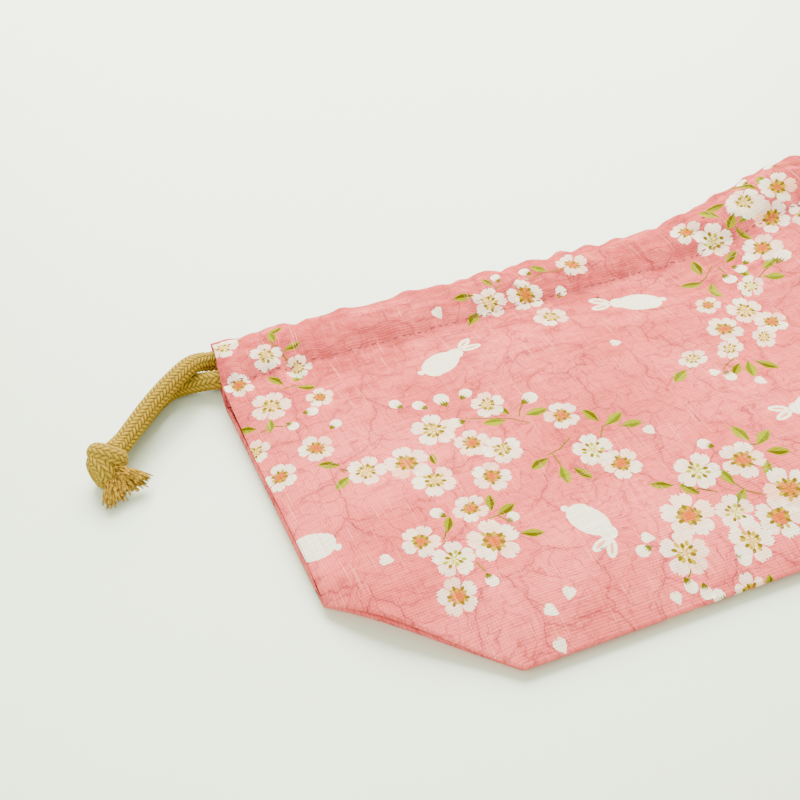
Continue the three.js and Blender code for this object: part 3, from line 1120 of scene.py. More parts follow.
SPRAY_MIDDLE = Spray(
    flowers=[
        (-101, 75, 7.0, P, 1), (-88, 85, 7.2, G, 1), (-80, 75, 6.2, O, 0.9), (-68, 89, 6.0, G, 0.9),
        (-50, 75, 5.8, O, 0.95), (-48, 59, 6.4, L, 1), (-43, 51, 6.2, O, 1), (-73, 69, 6.4, G, 0.95),
        (-81, 60, 6.0, O, 1), (-97, 65, 6.6, G, 1), (-113, 77, 6.2, G, 0.95),
    ],
    leaves=[
        (-60, 80, 6.5, -95, True), (-66, 80, 6.5, 75, True), (-64, 82, 5, 20, False),
        (-40, 66, 6.5, -70, True), (-41, 68, 6, 20, False), (-36, 64, 6, -100, True),
        (-62, 61, 6.5, 110, False), (-60, 57, 6.5, 170, True), (-57, 55, 6, -150, False),
        (-119, 82, 6, 60, False), (-118, 77, 6, 120, True), (-93, 76, 4.5, 170, False),
    ],
    buds=[
        (-78, 85, 5, 80), (-58, 85, 5.4, -70), (-86, 95, 4.6, 40), (-80, 94, 5.6, 0), (-93, 98, 4.4, 30),
        (-74, 95, 4.6, -50),
    ],
    stems=[
        [(-77, 86), (-70, 83), (-64, 80), (-60, 76)], [(-62, 80), (-60, 83), (-58, 85)],
        [(-62, 62), (-57, 63), (-52, 66)], [(-44, 62), (-41, 66), (-38, 66)], [(-120, 80), (-116, 79)],
        [(-60, 57), (-60, 62)],
    ],
)
SPRAY_LOW = Spray(
    flowers=[
        (-92, 51, 5.6, O, 0.9), (-91, 38, 7.8, O, 1), (-110, 45, 5.8, O, 1), (-104, 36, 6.2, L, 1),
        (-108, 25, 6.0, O, 0.95),
    ],
    leaves=[
        (-86, 46, 6, -70, False), (-87, 48, 5.5, -20, False), (-83, 38, 6, -110, False),
        (-102, 45, 5.5, -30, False),
    ],
    buds=[(-98, 28, 4.2, 190), (-100, 51, 4.4, 40), (-84, 43, 4, -60)],
    stems=[[(-89, 46), (-86, 46), (-84, 43)], [(-99, 33), (-98, 29)], [(-104, 43), (-101, 47), (-100, 50)]],
)
SPRAY_RIGHT = Spray(
    flowers=[
        (36, 141, 5.8, O, 1), (42, 133, 7.0, L, 1), (59, 140, 6.8, L, 1), (64, 131, 6.6, P, 1),
        (54, 121, 7.0, O, 1), (40, 107, 6.0, L, 0.75), (21, 104, 5.6, O, 0.75), (31, 97, 6.8, G, 0.95),
        (36, 89, 6.2, O, 0.85), (19, 91, 6.4, O, 0.95), (29, 83, 5.8, G, 0.7), (15, 82, 6.0, G, 0.65),
        (1, 82, 5.8, G, 0.65),
    ],
    leaves=[
        (49, 140, 7.5, 25, True), (51, 134, 6.5, 200, False), (53, 135, 6.5, -80, True),
        (66, 143, 7, 20, False), (68, 141, 7, -20, True), (68, 136, 6, -75, False),
        (30, 121, 7.5, -10, False), (28, 117, 7.5, 80, False), (30, 115, 6, 150, True),
        (27, 113, 6, 190, True), (48, 112, 6.5, -70, True), (46, 109, 6.5, -120, True),
        (17, 75, 7, 160, True), (19, 74, 7, -140, False), (14, 75, 6, 130, False), (-4, 78, 7, 120, True),
        (40, 122, 6.5, -60, False), (43, 118, 6, 170, False),
    ],
    buds=[
        (36, 117, 5.4, 190), (41, 119, 5, 210), (45, 118, 5, -60), (54, 112, 6.4, -60), (7, 73, 4.6, 190),
    ],
    stems=[
        [(50, 137), (52, 133), (53, 130)], [(66, 140), (63, 139)], [(36, 124), (30, 119), (25, 117)],
        [(37, 122), (37, 117)], [(39, 115), (36, 107), (34, 102)], [(54, 113), (48, 111), (44, 109)],
        [(15, 78), (10, 76), (7, 74)], [(1, 79), (-3, 78)],
    ],
)
SPRAY_FAR = Spray(
    flowers=[
        (-25, 39, 7.0, L, 1), (-11, 37, 7.0, O, 1), (-36, 26, 8.2, O, 1), (-44, 15, 7.6, G, 0.95),
        (-23, 22, 6.2, L, 0.95), (-24, 12, 7.0, G, 0.95), (-12, 16, 7.2, O, 1), (-4, 23, 8.0, P, 1),
    ],
    leaves=[
        (-4, 40, 7, -60, True), (-5, 42, 7, 10, True), (-3, 37, 6.5, -110, False), (-18, 30, 6, 10, True),
        (-29, 31, 6, 30, False), (-34, 37, 6, 60, False), (-8, 28, 6, -30, True), (-16, 28, 6, 130, True),
    ],
    buds=[
        (-48, 8, 4.4, 190), (-44, 5, 4.2, 170), (-52, 20, 4.6, 100), (-30, 10, 4.4, 200),
        (-16, 45, 4.6, 40),
    ],
    stems=[
        [(-12, 41), (-6, 41), (-3, 40)], [(-33, 33), (-28, 33), (-24, 30)],
        [(-18, 31), (-16, 27), (-12, 24)], [(-45, 10), (-47, 8)],
    ],
)
# Loose petals as (u, t, size, turn).
LOOSE_PETALS = (
    (-18, 98, 4.2, 80), (-29, 59, 4.4, 20), (-121, 43, 4.6, 60), (-87, 12, 4.6, 40), (-80, 15, 4.6, -30),
    (-89, 2.5, 4.8, 10), (-51, 23, 4.6, 60), (-53, 4, 4.2, 0), (15, 65, 4.6, 30), (4, 74, 4.2, 80),
    (-64, 136, 4.8, 20), (52, 60, 4.6, 70), (70, 20, 4.6, 15), (96, 66, 4.4, 50), (118, 78, 4.6, -40),
    (10, 8, 4.4, 25), (84, 104, 4.4, 10), (-5, -12, 4.6, 0), (60, -20, 4.6, 50),
)
# Rabbits as (place, length, turn, mirrored, curled).
RABBITS = (
    ((-73, 113), 14.5, 16, False, False), ((2, 116), 15.5, 164, True, False),
    ((-63, 35), 14.5, -60, True, True), ((24, 49), 14.5, 172, False, False),
    ((-137, 58), 14.0, 150, False, False), ((98, 116), 14.5, 20, False, False),
    ((76, 34), 14.0, 200, False, False),
)
# The sprays with their shifts. The shifted ones fill the right-hand end and the tucked base.
LAYOUT = (
    (SPRAY_LEFT, (0, 0)), (SPRAY_TOP, (0, 0)), (SPRAY_MIDDLE, (0, 0)), (SPRAY_LOW, (0, 0)),
    (SPRAY_RIGHT, (0, 0)), (SPRAY_FAR, (0, 0)), (SPRAY_LEFT, (245, 2)), (SPRAY_MIDDLE, (168, -16)),
    (SPRAY_LOW, (206, 4)), (SPRAY_FAR, (76, -8)), (SPRAY_TOP, (104, 6)), (SPRAY_LOW, (60, -52)),
    (SPRAY_FAR, (60, -52)),
)


def pouch_print() -> list[Patch]:
    """Lays out the whole print.

    Returns:
        Its patches, from the lowest to the uppermost.
    """
    design = PrintDesign()
    for u, t, size, turn in LOOSE_PETALS:
        design.loose_petal((u, t), size, turn)
    for rabbit in RABBITS:
        design.rabbit(*rabbit)
    for spray, move in LAYOUT:
        design.spray(spray, move)
    return design.patches


# Cloth

# Distance between points of the plain cloth, in mm.
CLOTH_PITCH = 2.0
# The front's stitches stand on the cloth and the back's lie in it, in mm.
STITCH_LIFT = {Layer.FRONT: 0.4, Layer.BACK: 0.0}


@dataclass(frozen=True)
class FlatCloth:
    """The cut cloth as flat triangles that follow the print's outlines, with the ink at each corner."""

    points: Array
    faces: Array
    ink: Array

    @classmethod
    def cut_out(cls, shape: LyingShape, patches: Sequence[Patch], pitch: float) -> "FlatCloth":
        """Cuts the cloth and prints it.

        Args:
            shape: Form that the cloth will take, which says where it is folded.
            patches: The print.
            pitch: Distance between the points between the print's outlines, in mm.

        Returns:
            The flat cloth.
        """
        half = shape.cut.half_width
        corner = half - shape.cut.tuck
        # The bottom edge bends where the boxed corners start, and once more just inside the sides.
        low = [-half, -half + 2.7, -corner, corner, half - 2.7, half]
        bottom = [(u, float(shape.tuck_end(np.array(u)))) for u in low]
        border = [*bottom, (half, shape.hem_end), (-half, shape.hem_end)]
        points = [tuple(map(float, p)) for p in border]
        faces = [list(range(len(border)))]
        edges: list[tuple[int, int]] = []

        across = np.linspace(-half, half, int(2 * half / pitch) + 1)
        fold_rows = [shape.half_turn * k / 3 for k in range(-3, 4)]
        for below in fold_rows:
            cls._row(points, edges, across, shape.fold_line(across) + below)
        seam = shape.cut.stitch_level + shape.half_turn - shape.fold_radius
        for level in (seam - 1.0, seam, seam + 0.9):
            cls._row(points, edges, across, np.full_like(across, level))
        rim_rows = [shape.rim_start + math.pi * shape.rim_radius * k / 8 for k in range(9)]
        for level in rim_rows:
            cls._row(points, edges, across, np.full_like(across, level))

        base, face = np.arange(-38, -2, 4), np.arange(2, shape.rim_start - 0.4, pitch)
        rows = np.concatenate([base, face, np.arange(shape.hem_start + 2, shape.hem_end, 3)])
        u, t = (a.ravel() for a in np.meshgrid(across[1:-1], rows))
        u = u + np.where(np.round((t - rows[0]) / pitch) % 2 == 0, 0, pitch / 2)
        off_fold = np.abs(t - shape.fold_line(u)) > shape.half_turn + 0.5
        keep = off_fold & (t > shape.tuck_end(u) + 1) & (np.abs(u) < half - 0.6)
        points += list(zip(u[keep].tolist(), t[keep].tolist()))
        for patch in patches:
            first = len(points)
            points += [tuple(p) for p in patch.outline.tolist()]
            faces.append(list(range(first, len(points))))

        places = [Vector(p) for p in points]
        flat, _, triangles, _, _, sources = delaunay_2d_cdt(places, edges, faces, 1, 1e-4)
        flat_points = np.array([tuple(p) for p in flat])
        kept = [(f, s) for f, s in zip(triangles, sources) if 0 in s and len(f) == 3]
        corners = np.array([f for f, _ in kept])
        ink = cls._printed(flat_points[corners], [s for _, s in kept], patches)
        return cls(flat_points, corners, ink)

    @staticmethod
    def _printed(corners: Array, sources: Sequence[Sequence[int]], patches: Sequence[Patch]) -> Array:
        """Lays each patch over the ones below it.

        Args:
            corners: Flat places of the corners of each triangle.
            sources: Faces that each triangle is part of: 0 for the cloth, then the patches from 1.
            patches: The print.

        Returns:
            Linear colour and cover of the corners of each triangle.
        """
        ink = np.zeros((len(corners), 3, 4))
        ink[..., :3] = linear(WHITE)[:3]
        under: dict[int, list[int]] = {}
        for row, source in enumerate(sources):
            for number in source:
                under.setdefault(number, []).append(row)
        for number in sorted(set(under) - {0}):
            rows = np.array(under[number])
            new = patches[number - 1].ink(corners[rows].reshape(-1, 2)).reshape(-1, 3, 4)
            old, over = ink[rows], new[..., 3:]
            cover = over + old[..., 3:] * (1 - over)
            colour = new[..., :3] * over + old[..., :3] * old[..., 3:] * (1 - over)
            ink[rows] = np.concatenate([colour / np.maximum(cover, 1e-6), cover], axis=-1)
        return ink

    @staticmethod
    def _row(points: list, edges: list, u: Array, t: Array) -> None:
        """Adds a row of joined points, so that a fold has straight rows of triangles.

        Args:
            points: List that takes the points.
            edges: List that takes the edges.
            u: Places across.
            t: Places up.
        """
        first = len(points)
        points += list(zip(u.tolist(), t.tolist()))
        edges += [(k, k + 1) for k in range(first, len(points) - 1)]


@dataclass
class ClothPanel:
    """One piece of cloth laid in its place, with thickness and a paler inner side."""

    layer: Layer
    shape: LyingShape
    flat: FlatCloth
    finish: ClothFinish

    def build(self) -> Piece:
        """Makes the panel.

        Returns:
            The panel, with its thickness as a modifier.
        """
        name = f"{self.layer.value}_cloth"
        u, t = self.flat.points.T
        piece = mesh_object(name, self.shape.place(self.layer, u, t), self.flat.faces)
        mesh = piece.data
        order = self.flat.faces.ravel()
        uv = mesh.uv_layers.new(name="flat")
        uv.data.foreach_set("uv", (self.flat.points[order] * MM).ravel())
        ink = mesh.color_attributes.new("print", "FLOAT_COLOR", "CORNER")
        ink.data.foreach_set("color", self.flat.ink.reshape(-1, 4).ravel())
        mesh.materials.append(self.finish.material(Side.PRINTED))
        mesh.materials.append(self.finish.material(Side.WRONG))
        solid = piece.modifiers.new("cloth thickness", "SOLIDIFY")
        solid.thickness = self.shape.cut.cloth * MM
        solid.offset = 0.0
        solid.material_offset = 1
        log.info("%s: %d triangles before thickness", name, len(self.flat.faces))
        return piece


# Geometry Nodes pieces


def bake_nodes(piece: Piece, tree: Tree, values: dict[str, object]) -> Piece:
    """Runs a geometry node tree on an object and keeps the resulting mesh.

    Args:
        piece: Object whose mesh is the tree's input.
        tree: The geometry node tree.
        values: Values of its inputs by name.

    Returns:
        The same object with the finished mesh and no modifier.
    """
    modifier = piece.modifiers.new(tree.name, "NODES")
    modifier.node_group = tree
    sockets = {s.name: s.identifier for s in tree.interface.items_tree if s.in_out == "INPUT"}
    for name, value in values.items():
        modifier[sockets[name]] = value
    bpy.context.view_layer.update()
    evaluated = piece.evaluated_get(bpy.context.evaluated_depsgraph_get())
    mesh = bpy.data.meshes.new_from_object(evaluated)
    piece.modifiers.clear()
    piece.data = mesh
    mesh.polygons.foreach_set("use_smooth", [True] * len(mesh.polygons))
    return piece


def geometry_tree(name: str, inputs: dict[str, str]) -> tuple[Tree, dict[str, Socket]]:
    """Makes a geometry node tree with a geometry input and some named ones.

    Args:
        name: Name of the tree.
        inputs: Kind of each further input, by name.

    Returns:
        The tree and the sockets of its inputs by name.
    """
    tree = bpy.data.node_groups.new(name, "GeometryNodeTree")
    for label, kind in {"Geometry": "Geometry", **inputs}.items():
        tree.interface.new_socket(label, in_out="INPUT", socket_type="NodeSocket" + kind)
    tree.interface.new_socket("Geometry", in_out="OUTPUT", socket_type="NodeSocketGeometry")
    given = add_node(tree, "NodeGroupInput")
    return tree, {socket.name: socket for socket in given.outputs if socket.name}


def stitch_tree() -> Tree:
    """Builds the tree that sews stitches along lines: one short rounded thread for each stitch.

    Returns:
        The geometry node tree.
    """
    inputs = dict.fromkeys(("Pitch", "Length", "Thickness"), "Float")
    tree, given = geometry_tree("sewn stitches", {**inputs, "Thread": "Material"})
    line = add_node(tree, "GeometryNodeMeshToCurve", {0: given["Geometry"]})
    spacing = {"Curve": line, "Length": given["Pitch"]}
    spaced = add_node(tree, "GeometryNodeResampleCurve", spacing, mode="LENGTH")
    way = add_node(tree, "GeometryNodeInputTangent")
    along = add_node(tree, "FunctionNodeAlignRotationToVector", {"Vector": way}, axis="X")
    bead = add_node(tree, "GeometryNodeMeshUVSphere", {"Segments": 8, "Rings": 6, "Radius": 0.5})
    thick = given["Thickness"]
    size = add_node(tree, "ShaderNodeCombineXYZ", {0: given["Length"], 1: thick, 2: thick})
    sewing = {"Points": spaced, "Instance": bead, "Rotation": along, "Scale": size}
    sewn = add_node(tree, "GeometryNodeInstanceOnPoints", sewing)
    real = add_node(tree, "GeometryNodeRealizeInstances", {0: sewn})
    done = add_node(tree, "GeometryNodeSetMaterial", {0: real, "Material": given["Thread"]})
    add_node(tree, "NodeGroupOutput", {0: done})
    return tree


def yarn_tree() -> Tree:
    """Builds the tree that turns lines into wavy yarns of round section.

    Returns:
        The geometry node tree.
    """
    inputs = dict.fromkeys(("Radius", "Crimp", "Crimp Size", "Seed"), "Float")
    tree, given = geometry_tree("frayed yarns", {**inputs, "Yarn": "Material"})
    line = add_node(tree, "GeometryNodeMeshToCurve", {0: given["Geometry"]})
    spaced = add_node(tree, "GeometryNodeResampleCurve", {"Curve": line, "Count": 14}, mode="COUNT")
    place = add_node(tree, "GeometryNodeInputPosition")
    scale = add_node(tree, "ShaderNodeMath", {0: 1.0, 1: given["Crimp Size"]}, operation="DIVIDE")
    bends = {"Vector": place, "W": given["Seed"], "Scale": scale, "Detail": 1.0}
    noise = add_node(tree, "ShaderNodeTexNoise", bends, noise_dimensions="4D")
    middle = {0: noise.outputs[1], 1: (0.5, 0.5, 0.5)}
    centred = add_node(tree, "ShaderNodeVectorMath", middle, operation="SUBTRACT")
    along = add_node(tree, "GeometryNodeSplineParameter")
    reach = add_node(tree, "ShaderNodeMath", {0: along, 1: given["Crimp"]}, operation="MULTIPLY")
    shift = add_node(tree, "ShaderNodeVectorMath", {0: centred, "Scale": reach}, operation="SCALE")
    crimped = add_node(tree, "GeometryNodeSetPosition", {0: spaced, "Offset": shift})
    circle = {"Resolution": 6, "Radius": given["Radius"]}
    section = add_node(tree, "GeometryNodeCurvePrimitiveCircle", circle)
    tubes = add_node(tree, "GeometryNodeCurveToMesh", {0: crimped, 1: section, "Fill Caps": True})
    real = add_node(tree, "GeometryNodeRealizeInstances", {0: tubes})
    done = add_node(tree, "GeometryNodeSetMaterial", {0: real, "Material": given["Yarn"]})
    add_node(tree, "NodeGroupOutput", {0: done})
    return tree


@dataclass
class Stitching:
    """A row of machine stitches along a line on the cloth."""

    name: str
    line: Array
    thread: Material
    tree: Tree
    pitch: float = 2.7
    length: float = 1.9
    thickness: float = 0.45

    def build(self) -> Piece:
        """Makes the stitches.

        Returns:
            The stitches as one piece.
        """
        edges = [(k, k + 1) for k in range(len(self.line) - 1)]
        piece = mesh_object(self.name, self.line, [], edges)
        sizes = {"Pitch": self.pitch, "Length": self.length, "Thickness": self.thickness}
        values = {key: size * MM for key, size in sizes.items()}
        bake_nodes(piece, self.tree, {**values, "Thread": self.thread})
        log.info("%s: %d faces", self.name, len(piece.data.polygons))
        return piece


# Cord

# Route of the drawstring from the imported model, in metres.
FRONT_TAIL = (
    (-0.1756, 0.0414, 0.0073), (-0.1726, 0.0442, 0.0077), (-0.1688, 0.0479, 0.0082),
    (-0.1644, 0.0521, 0.0088), (-0.1596, 0.0562, 0.0094), (-0.1546, 0.0602, 0.0098),
    (-0.15, 0.0638, 0.0098), (-0.1462, 0.0668, 0.0091), (-0.1424, 0.069, 0.0074),
    (-0.1385, 0.0698, 0.006),
)
RIGHT_TURN = (
    (0.143, 0.0702, 0.01), (0.149, 0.0717, 0.0089), (0.155, 0.0699, 0.0072),
    (0.1576, 0.0653, 0.0056), (0.155, 0.0608, 0.0046), (0.149, 0.0596, 0.0044),
    (0.143, 0.0607, 0.0045),
)
BACK_TAIL = (
    (-0.1385, 0.0614, 0.0048), (-0.1424, 0.0626, 0.0044), (-0.1466, 0.0641, 0.0036),
    (-0.1508, 0.0648, 0.0031), (-0.1552, 0.0639, 0.0031), (-0.1594, 0.0612, 0.0031),
    (-0.1634, 0.0576, 0.0031), (-0.1672, 0.0538, 0.0031), (-0.1708, 0.0502, 0.0032),
    (-0.174, 0.0466, 0.0037),
)
# Both strands in the casings: stops as shares of the half width, then level and height in mm.
FRONT_STOPS = (-0.85, -0.3, 0.15, 0.27, 0.38, 0.48, 0.58, 0.68, 0.76, 0.83, 0.9, 0.96)
BACK_STOPS = (0.85, 0.3, -0.3, -0.85)
FRONT_LEVEL, FRONT_HEIGHT = 146.5, 6.2
BACK_LEVEL, BACK_HEIGHT = 137.5, 4.6
# Where the tails end inside the casing and the run goes on after a small gap, in mm.
TAIL_INSIDE, RUN_INSIDE = -129.0, -128.8
FRONT_INSIDE, BACK_INSIDE = (70.0, 6.2), (61.0, 4.4)
# Where the tails end in the knot, from its middle, in mm.
FRONT_ENTRY, BACK_ENTRY = (2.6, 2.6, 0.6), (2.6, 5.0, -1.2)
# Turns of the knot as (axis, shift, radius), in mm.
KNOT_TURNS = (
    ((0.55, 0.6, 0.58), (0.6, 1.0, 1.4), 3.2),
    ((-0.96, -0.28, -0.04), (-2.2, -2.0, -0.9), 2.9),
)
# Frayed end: its root from the knot and the ends of its fan from that root, in mm.
FRAY_ROOT = (0.4, -3.2, -0.6)
FRAY_FAN = ((-3.9, -9.1, -5.2), (9.5, -4.4, -3.6))
FRAY_YARNS = 230


@dataclass
class BraidedCord:
    """A round braid: columns of plaits that slant to and fro, swept along a path."""

    name: str
    path: Array
    finish: Material
    diameter: float = 6.0
    strands: int = 10
    plait: float = 1.6
    relief: float = 0.5
    sides: int = 80
    step: float = 0.2
    spin: float = 0.0

    def build(self) -> Piece:
        """Makes the braid.

        Returns:
            The cord as one closed piece.
        """
        line = path_through(self.path, self.step)
        way = np.gradient(line, axis=0)
        way /= np.linalg.norm(way, axis=1)[:, None]
        normal = np.cross(way[0], [0.0, 0.0, 1.0])
        sideways = []
        for d in way:
            normal = normal - d * np.dot(normal, d)
            normal = normal / np.linalg.norm(normal)
            sideways.append(normal)
        n = np.array(sideways)
        b = np.cross(way, n)
        angle = np.arange(self.sides) * 2 * np.pi / self.sides
        s = np.arange(len(line)) * self.step
        crown, across, along = self._braid(s[:, None], angle[None, :])
        radius = self.diameter / 2 + self.relief * (crown - 0.68)
        ring = np.cos(angle)[None, :, None] * n[:, None, :] + np.sin(angle)[None, :, None] * b[:, None, :]
        points = (line[:, None, :] + radius[..., None] * ring).reshape(-1, 3)
        rings, sides = len(line), self.sides
        i, j = (a.ravel() for a in np.meshgrid(np.arange(rings - 1), np.arange(sides), indexing="ij"))
        k = (j + 1) % sides
        here, there = i * sides, (i + 1) * sides
        faces = np.stack([here + j, here + k, there + k, there + j], axis=1).tolist()
        faces += [list(range(sides))[::-1], list(range((rings - 1) * sides, rings * sides))]
        piece = mesh_object(self.name, points, faces)
        mesh = piece.data
        # The relief also sets the cord finish's painted shade in the dips and painted highlight on the
        # crowns.
        mesh.attributes.new("relief", "FLOAT", "POINT").data.foreach_set("value", crown.ravel())
        plait = np.stack([across, along, np.zeros_like(across)], axis=-1)
        mesh.attributes.new("plait", "FLOAT_VECTOR", "POINT").data.foreach_set("vector", plait.ravel())
        mesh.materials.append(self.finish)
        log.info("%s: %.1f mm long, %d faces", self.name, path_length(line), len(faces))
        return piece

    def _braid(self, s: Array, angle: Array) -> tuple[Array, Array, Array]:
        """Shape of the braid's surface.

        Args:
            s: Places along the cord, in mm.
            angle: Places round it.

        Returns:
            Height of the plait there from 0 to 1, the place across the plait and the place along it.
        """
        round_it = self.strands * (angle + self.spin) / (2 * np.pi) + 0 * s
        column = np.floor(round_it)
        in_column = round_it - column
        slant = np.where(column % 2 == 0, 1.0, -1.0)
        number = s / self.plait + slant * (in_column - 0.5) * 0.95 + 0.5 * (column % 2)
        across = number - np.round(number)
        dome = np.sqrt(np.clip(1 - (2 * across) ** 2 * 0.96, 0, 1))
        crown = dome * (0.62 + 0.38 * np.sin(np.pi * in_column) ** 0.7)
        along = in_column * 2.4 + 7.3 * np.round(number) + 3.1 * column
        return crown, across, along


@dataclass
class Drawstring:
    """The cord: two free tails, the run through both casings, and the tied and frayed end."""

    shape: LyingShape
    finish: CordFinish
    yarn: YarnFinish
    tree: Tree
    knot_at: tuple[float, float, float] = (-181.2, 35.9, 7.2)

    def tails(self) -> list[tuple[Piece, Array]]:
        """Makes the two tails.

        Returns:
            Each tail with the points that it follows, in metres, from the casing to the knot.
        """
        material = self.finish.material()
        front = np.array(FRONT_TAIL[::-1]) / MM
        back = np.array(BACK_TAIL) / MM
        into_knot = np.array(self.knot_at)
        made = []
        for name, tail, inside, entry, spin in (
            ("cord_tail_front", front, FRONT_INSIDE, FRONT_ENTRY, 0.0),
            ("cord_tail_back", back, BACK_INSIDE, BACK_ENTRY, 0.3),
        ):
            path = np.vstack([[(TAIL_INSIDE, *inside)], tail, [into_knot + entry]])
            piece = BraidedCord(name, path, material, spin=spin).build()
            made.append((piece, path_through(path, 1.0) * MM))
        return made

    def casing_run(self, material: Material) -> Piece:
        """Makes the hidden run through both casings and the turn at the right-hand end.

        Args:
            material: Finish of the cord.

        Returns:
            The run.
        """
        half, middle = self.shape.cut.half_width, self.shape.cut.height / 2
        stops = np.array(FRONT_STOPS) * half
        heights = FRONT_HEIGHT + self.shape.lift(stops, np.full_like(stops, FRONT_LEVEL))
        front = [(x, FRONT_LEVEL - middle, z) for x, z in zip(stops, heights)]
        back = [(k * half, BACK_LEVEL - middle, BACK_HEIGHT) for k in BACK_STOPS]
        start, end = (RUN_INSIDE, *FRONT_INSIDE), (RUN_INSIDE, *BACK_INSIDE)
        path = np.vstack([[start], front, np.array(RIGHT_TURN) / MM, back, [end]])
        return BraidedCord("cord_in_casing", path, material, sides=60, step=0.45).build()

    def knot(self, material: Material) -> Piece:
        """Makes the overhand knot: turns of the cord pulled tight round each other.

        Args:
            material: Finish of the cord.

        Returns:
            The knot.
        """
        at = np.array(self.knot_at)
        parts = []
        for number, (axis, shift, reach) in enumerate(KNOT_TURNS):
            along = np.array(axis) / np.linalg.norm(axis)
            side = np.cross([0, 0, 1.0], along)
            side /= np.linalg.norm(side)
            angle = np.linspace(0, 2 * np.pi, 17)[:, None]
            ring = reach * (np.cos(angle) * side + np.sin(angle) * np.cross(along, side))
            path = at + ring + np.array(shift)
            tight = {"strands": 12, "plait": 1.2, "relief": 0.25, "sides": 84}
            parts.append(BraidedCord(f"turn_{number}", path, material, **tight).build())
        knot = self._join("knot_turns", parts)
        log.info("%s: %d faces", knot.name, len(knot.data.polygons))
        return knot

    @staticmethod
    def _join(name: str, parts: Sequence[Piece]) -> Piece:
        """Joins pieces into one object.

        Args:
            name: Name of the result.
            parts: The pieces.

        Returns:
            The first piece, with the others in it.
        """
        whole = parts[0]
        chosen = {"active_object": whole, "object": whole, "selected_editable_objects": list(parts)}
        with bpy.context.temp_override(**chosen):
            bpy.ops.object.join()
        whole.name = name
        whole.data.name = name
        return whole

    def frayed_end(self) -> Piece:
        """Makes the loose yarns that fan out beyond the knot and lie on the table.

        Returns:
            The yarns as one piece.
        """
        rng = np.random.default_rng(5)
        root = np.array(self.knot_at) + FRAY_ROOT
        first_end, last_end = root + np.array(FRAY_FAN)
        points, edges = [], []
        for _ in range(FRAY_YARNS):
            start = root + rng.normal(0, 1.0, 3) * [1.0, 1.0, 1.2]
            end = blend(first_end, last_end, rng.uniform(-0.03, 1.03))
            end = end + rng.normal(0, 1.0, 3) * [0.7, 0.7, 0.3]
            end[2] = max(0.5, end[2] + rng.uniform(-0.6, 2.6))
            first = len(points)
            for share in np.linspace(0, 1, 6):
                bow = np.array([0, 0, 1.1 * math.sin(math.pi * share)])
                points.append(blend(start, end, share) + bow)
            edges += [(k, k + 1) for k in range(first, len(points) - 1)]
        piece = mesh_object("frayed_end", np.array(points), [], edges)
        sizes = {"Radius": 0.25 * MM, "Crimp": 0.7 * MM, "Crimp Size": 3.0 * MM}
        bake_nodes(piece, self.tree, {**sizes, "Seed": 3.0, "Yarn": self.yarn.material()})
        log.info("%s: %d faces", piece.name, len(piece.data.polygons))
        return piece


# Studio


@dataclass(frozen=True)
class SoftLight:
    """A square area light that points at the pouch, with its size in metres and its power in watts."""

    name: str
    place: tuple[float, float, float]
    size: float
    power: float
    colour: str

    def build(self) -> Piece:
        """Makes the light.

        Returns:
            The light.
        """
        data = bpy.data.lights.new(self.name, "AREA")
        data.size = self.size
        data.energy = self.power
        data.color = linear(self.colour)[:3]
        light = bpy.data.objects.new(self.name, data)
        light.location = self.place
        light.rotation_euler = (-Vector(self.place)).to_track_quat("-Z", "Y").to_euler()
        bpy.context.collection.objects.link(light)
        return light


KEY = SoftLight("key", (0.4, 1.15, 0.95), 1.45, 112.0, "#FFFDF8")
FILL = SoftLight("fill", (-0.9, -0.4, 0.9), 1.4, 16.0, "#F6FAFF")


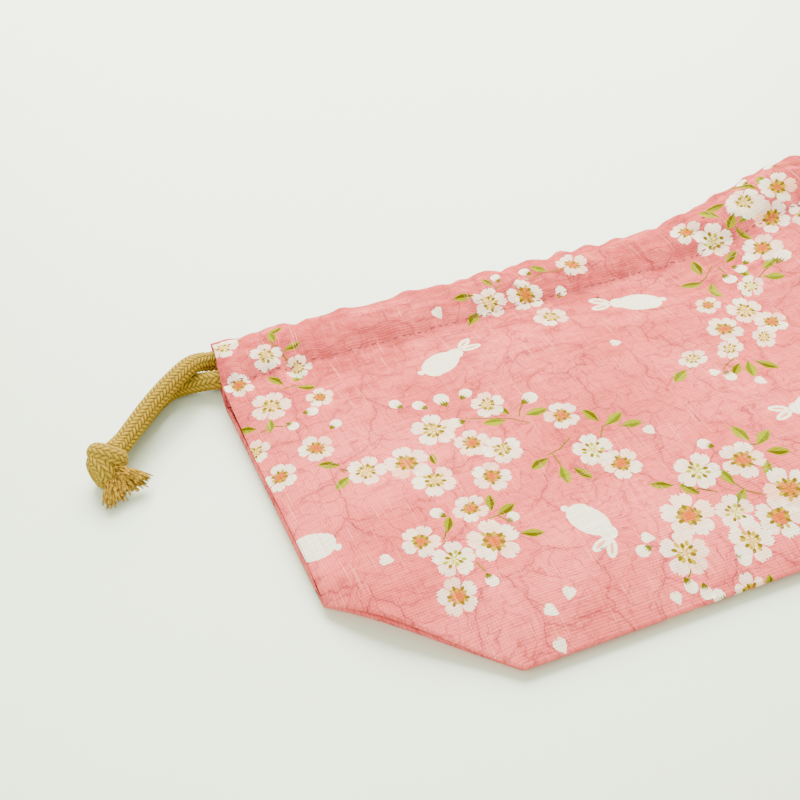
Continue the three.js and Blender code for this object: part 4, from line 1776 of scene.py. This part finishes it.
@dataclass(frozen=True)
class Studio:
    """Table, soft light from the upper right, and the camera at the photograph's place."""

    table: TableFinish
    camera_at: tuple[float, float, float] = (-0.2109, -0.2532, 0.2782)
    camera_tilt: float = 48.38
    camera_turn: float = -23.17
    lens: float = 59.1
    sky: str = "#F4F8F4"
    sky_strength: float = 1.6
    table_half: float = 3000.0

    def camera(self) -> None:
        """Places the camera."""
        data = bpy.data.cameras.new("camera")
        data.lens = self.lens
        data.sensor_width = 36.0
        data.clip_start = 0.01
        piece = bpy.data.objects.new("camera", data)
        piece.location = self.camera_at
        piece.rotation_euler = (math.radians(self.camera_tilt), 0.0, math.radians(self.camera_turn))
        bpy.context.collection.objects.link(piece)
        bpy.context.scene.camera = piece

    def lights(self) -> None:
        """Places a large soft key light and a weaker fill, under a pale sky."""
        for light in (KEY, FILL):
            light.build()
        world = bpy.data.worlds.new("studio")
        world.use_nodes = True
        world.node_tree.nodes.clear()
        glow = {"Color": linear(self.sky), "Strength": self.sky_strength}
        sky = add_node(world.node_tree, "ShaderNodeBackground", glow)
        add_node(world.node_tree, "ShaderNodeOutputWorld", {0: sky})
        bpy.context.scene.world = world

    def floor(self) -> Piece:
        """Makes the table top.

        Returns:
            The table top.
        """
        corners = np.array([(-1, -1, 0), (1, -1, 0), (1, 1, 0), (-1, 1, 0)]) * self.table_half
        piece = mesh_object("table_top", corners, [(0, 1, 2, 3)])
        piece.data.materials.append(self.table.material())
        return piece


def main() -> None:
    """Builds the pouch and its studio."""
    logging.basicConfig(level=logging.INFO, format="%(name)s: %(message)s")
    studio = Studio(TableFinish())
    studio.camera()
    cut = PouchCut.from_frame()
    shape = LyingShape(cut)

    yarn = YarnFinish("frayed cotton yarn", "#CC9E30", "#6C5220", 0.9)
    cord = Drawstring(shape, CordFinish(), yarn, yarn_tree())
    (front_tail, front_path), (back_tail, back_path) = cord.tails()
    cord_material = front_tail.data.materials[0]
    run = cord.casing_run(cord_material)
    knot = cord.knot(cord_material)
    frayed = cord.frayed_end()

    flat = FlatCloth.cut_out(shape, pouch_print(), CLOTH_PITCH)
    cloth = ClothFinish()
    front = ClothPanel(Layer.FRONT, shape, flat, cloth).build()
    back = ClothPanel(Layer.BACK, shape, flat, cloth).build()

    thread = YarnFinish("sewing thread", "#A45256", "#8A4248", 0.6).material()
    sewing = stitch_tree()
    u = np.linspace(-cut.half_width + 1, cut.half_width - 1, 280)
    level = np.full_like(u, cut.stitch_level + shape.half_turn - shape.fold_radius)
    stitches = []
    for layer, offset in STITCH_LIFT.items():
        line = shape.place(layer, u, level) + [0, 0, offset]
        stitches.append(Stitching(f"casing_stitches_{layer.value}", line, thread, sewing).build())

    studio.lights()
    studio.floor()

    for piece, nodes in (
        (front, ["front_panel"]), (back, ["back_panel"]), (front_tail, ["drawstring"]),
        (back_tail, ["drawstring"]), (run, ["drawstring"]), (knot, ["drawstring_knot"]),
        (frayed, ["drawstring_tuft"]), *((s, []) for s in stitches),
    ):
        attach(piece, BODY)
        if nodes:
            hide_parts(*nodes)


if __name__ == "__main__":
    main()
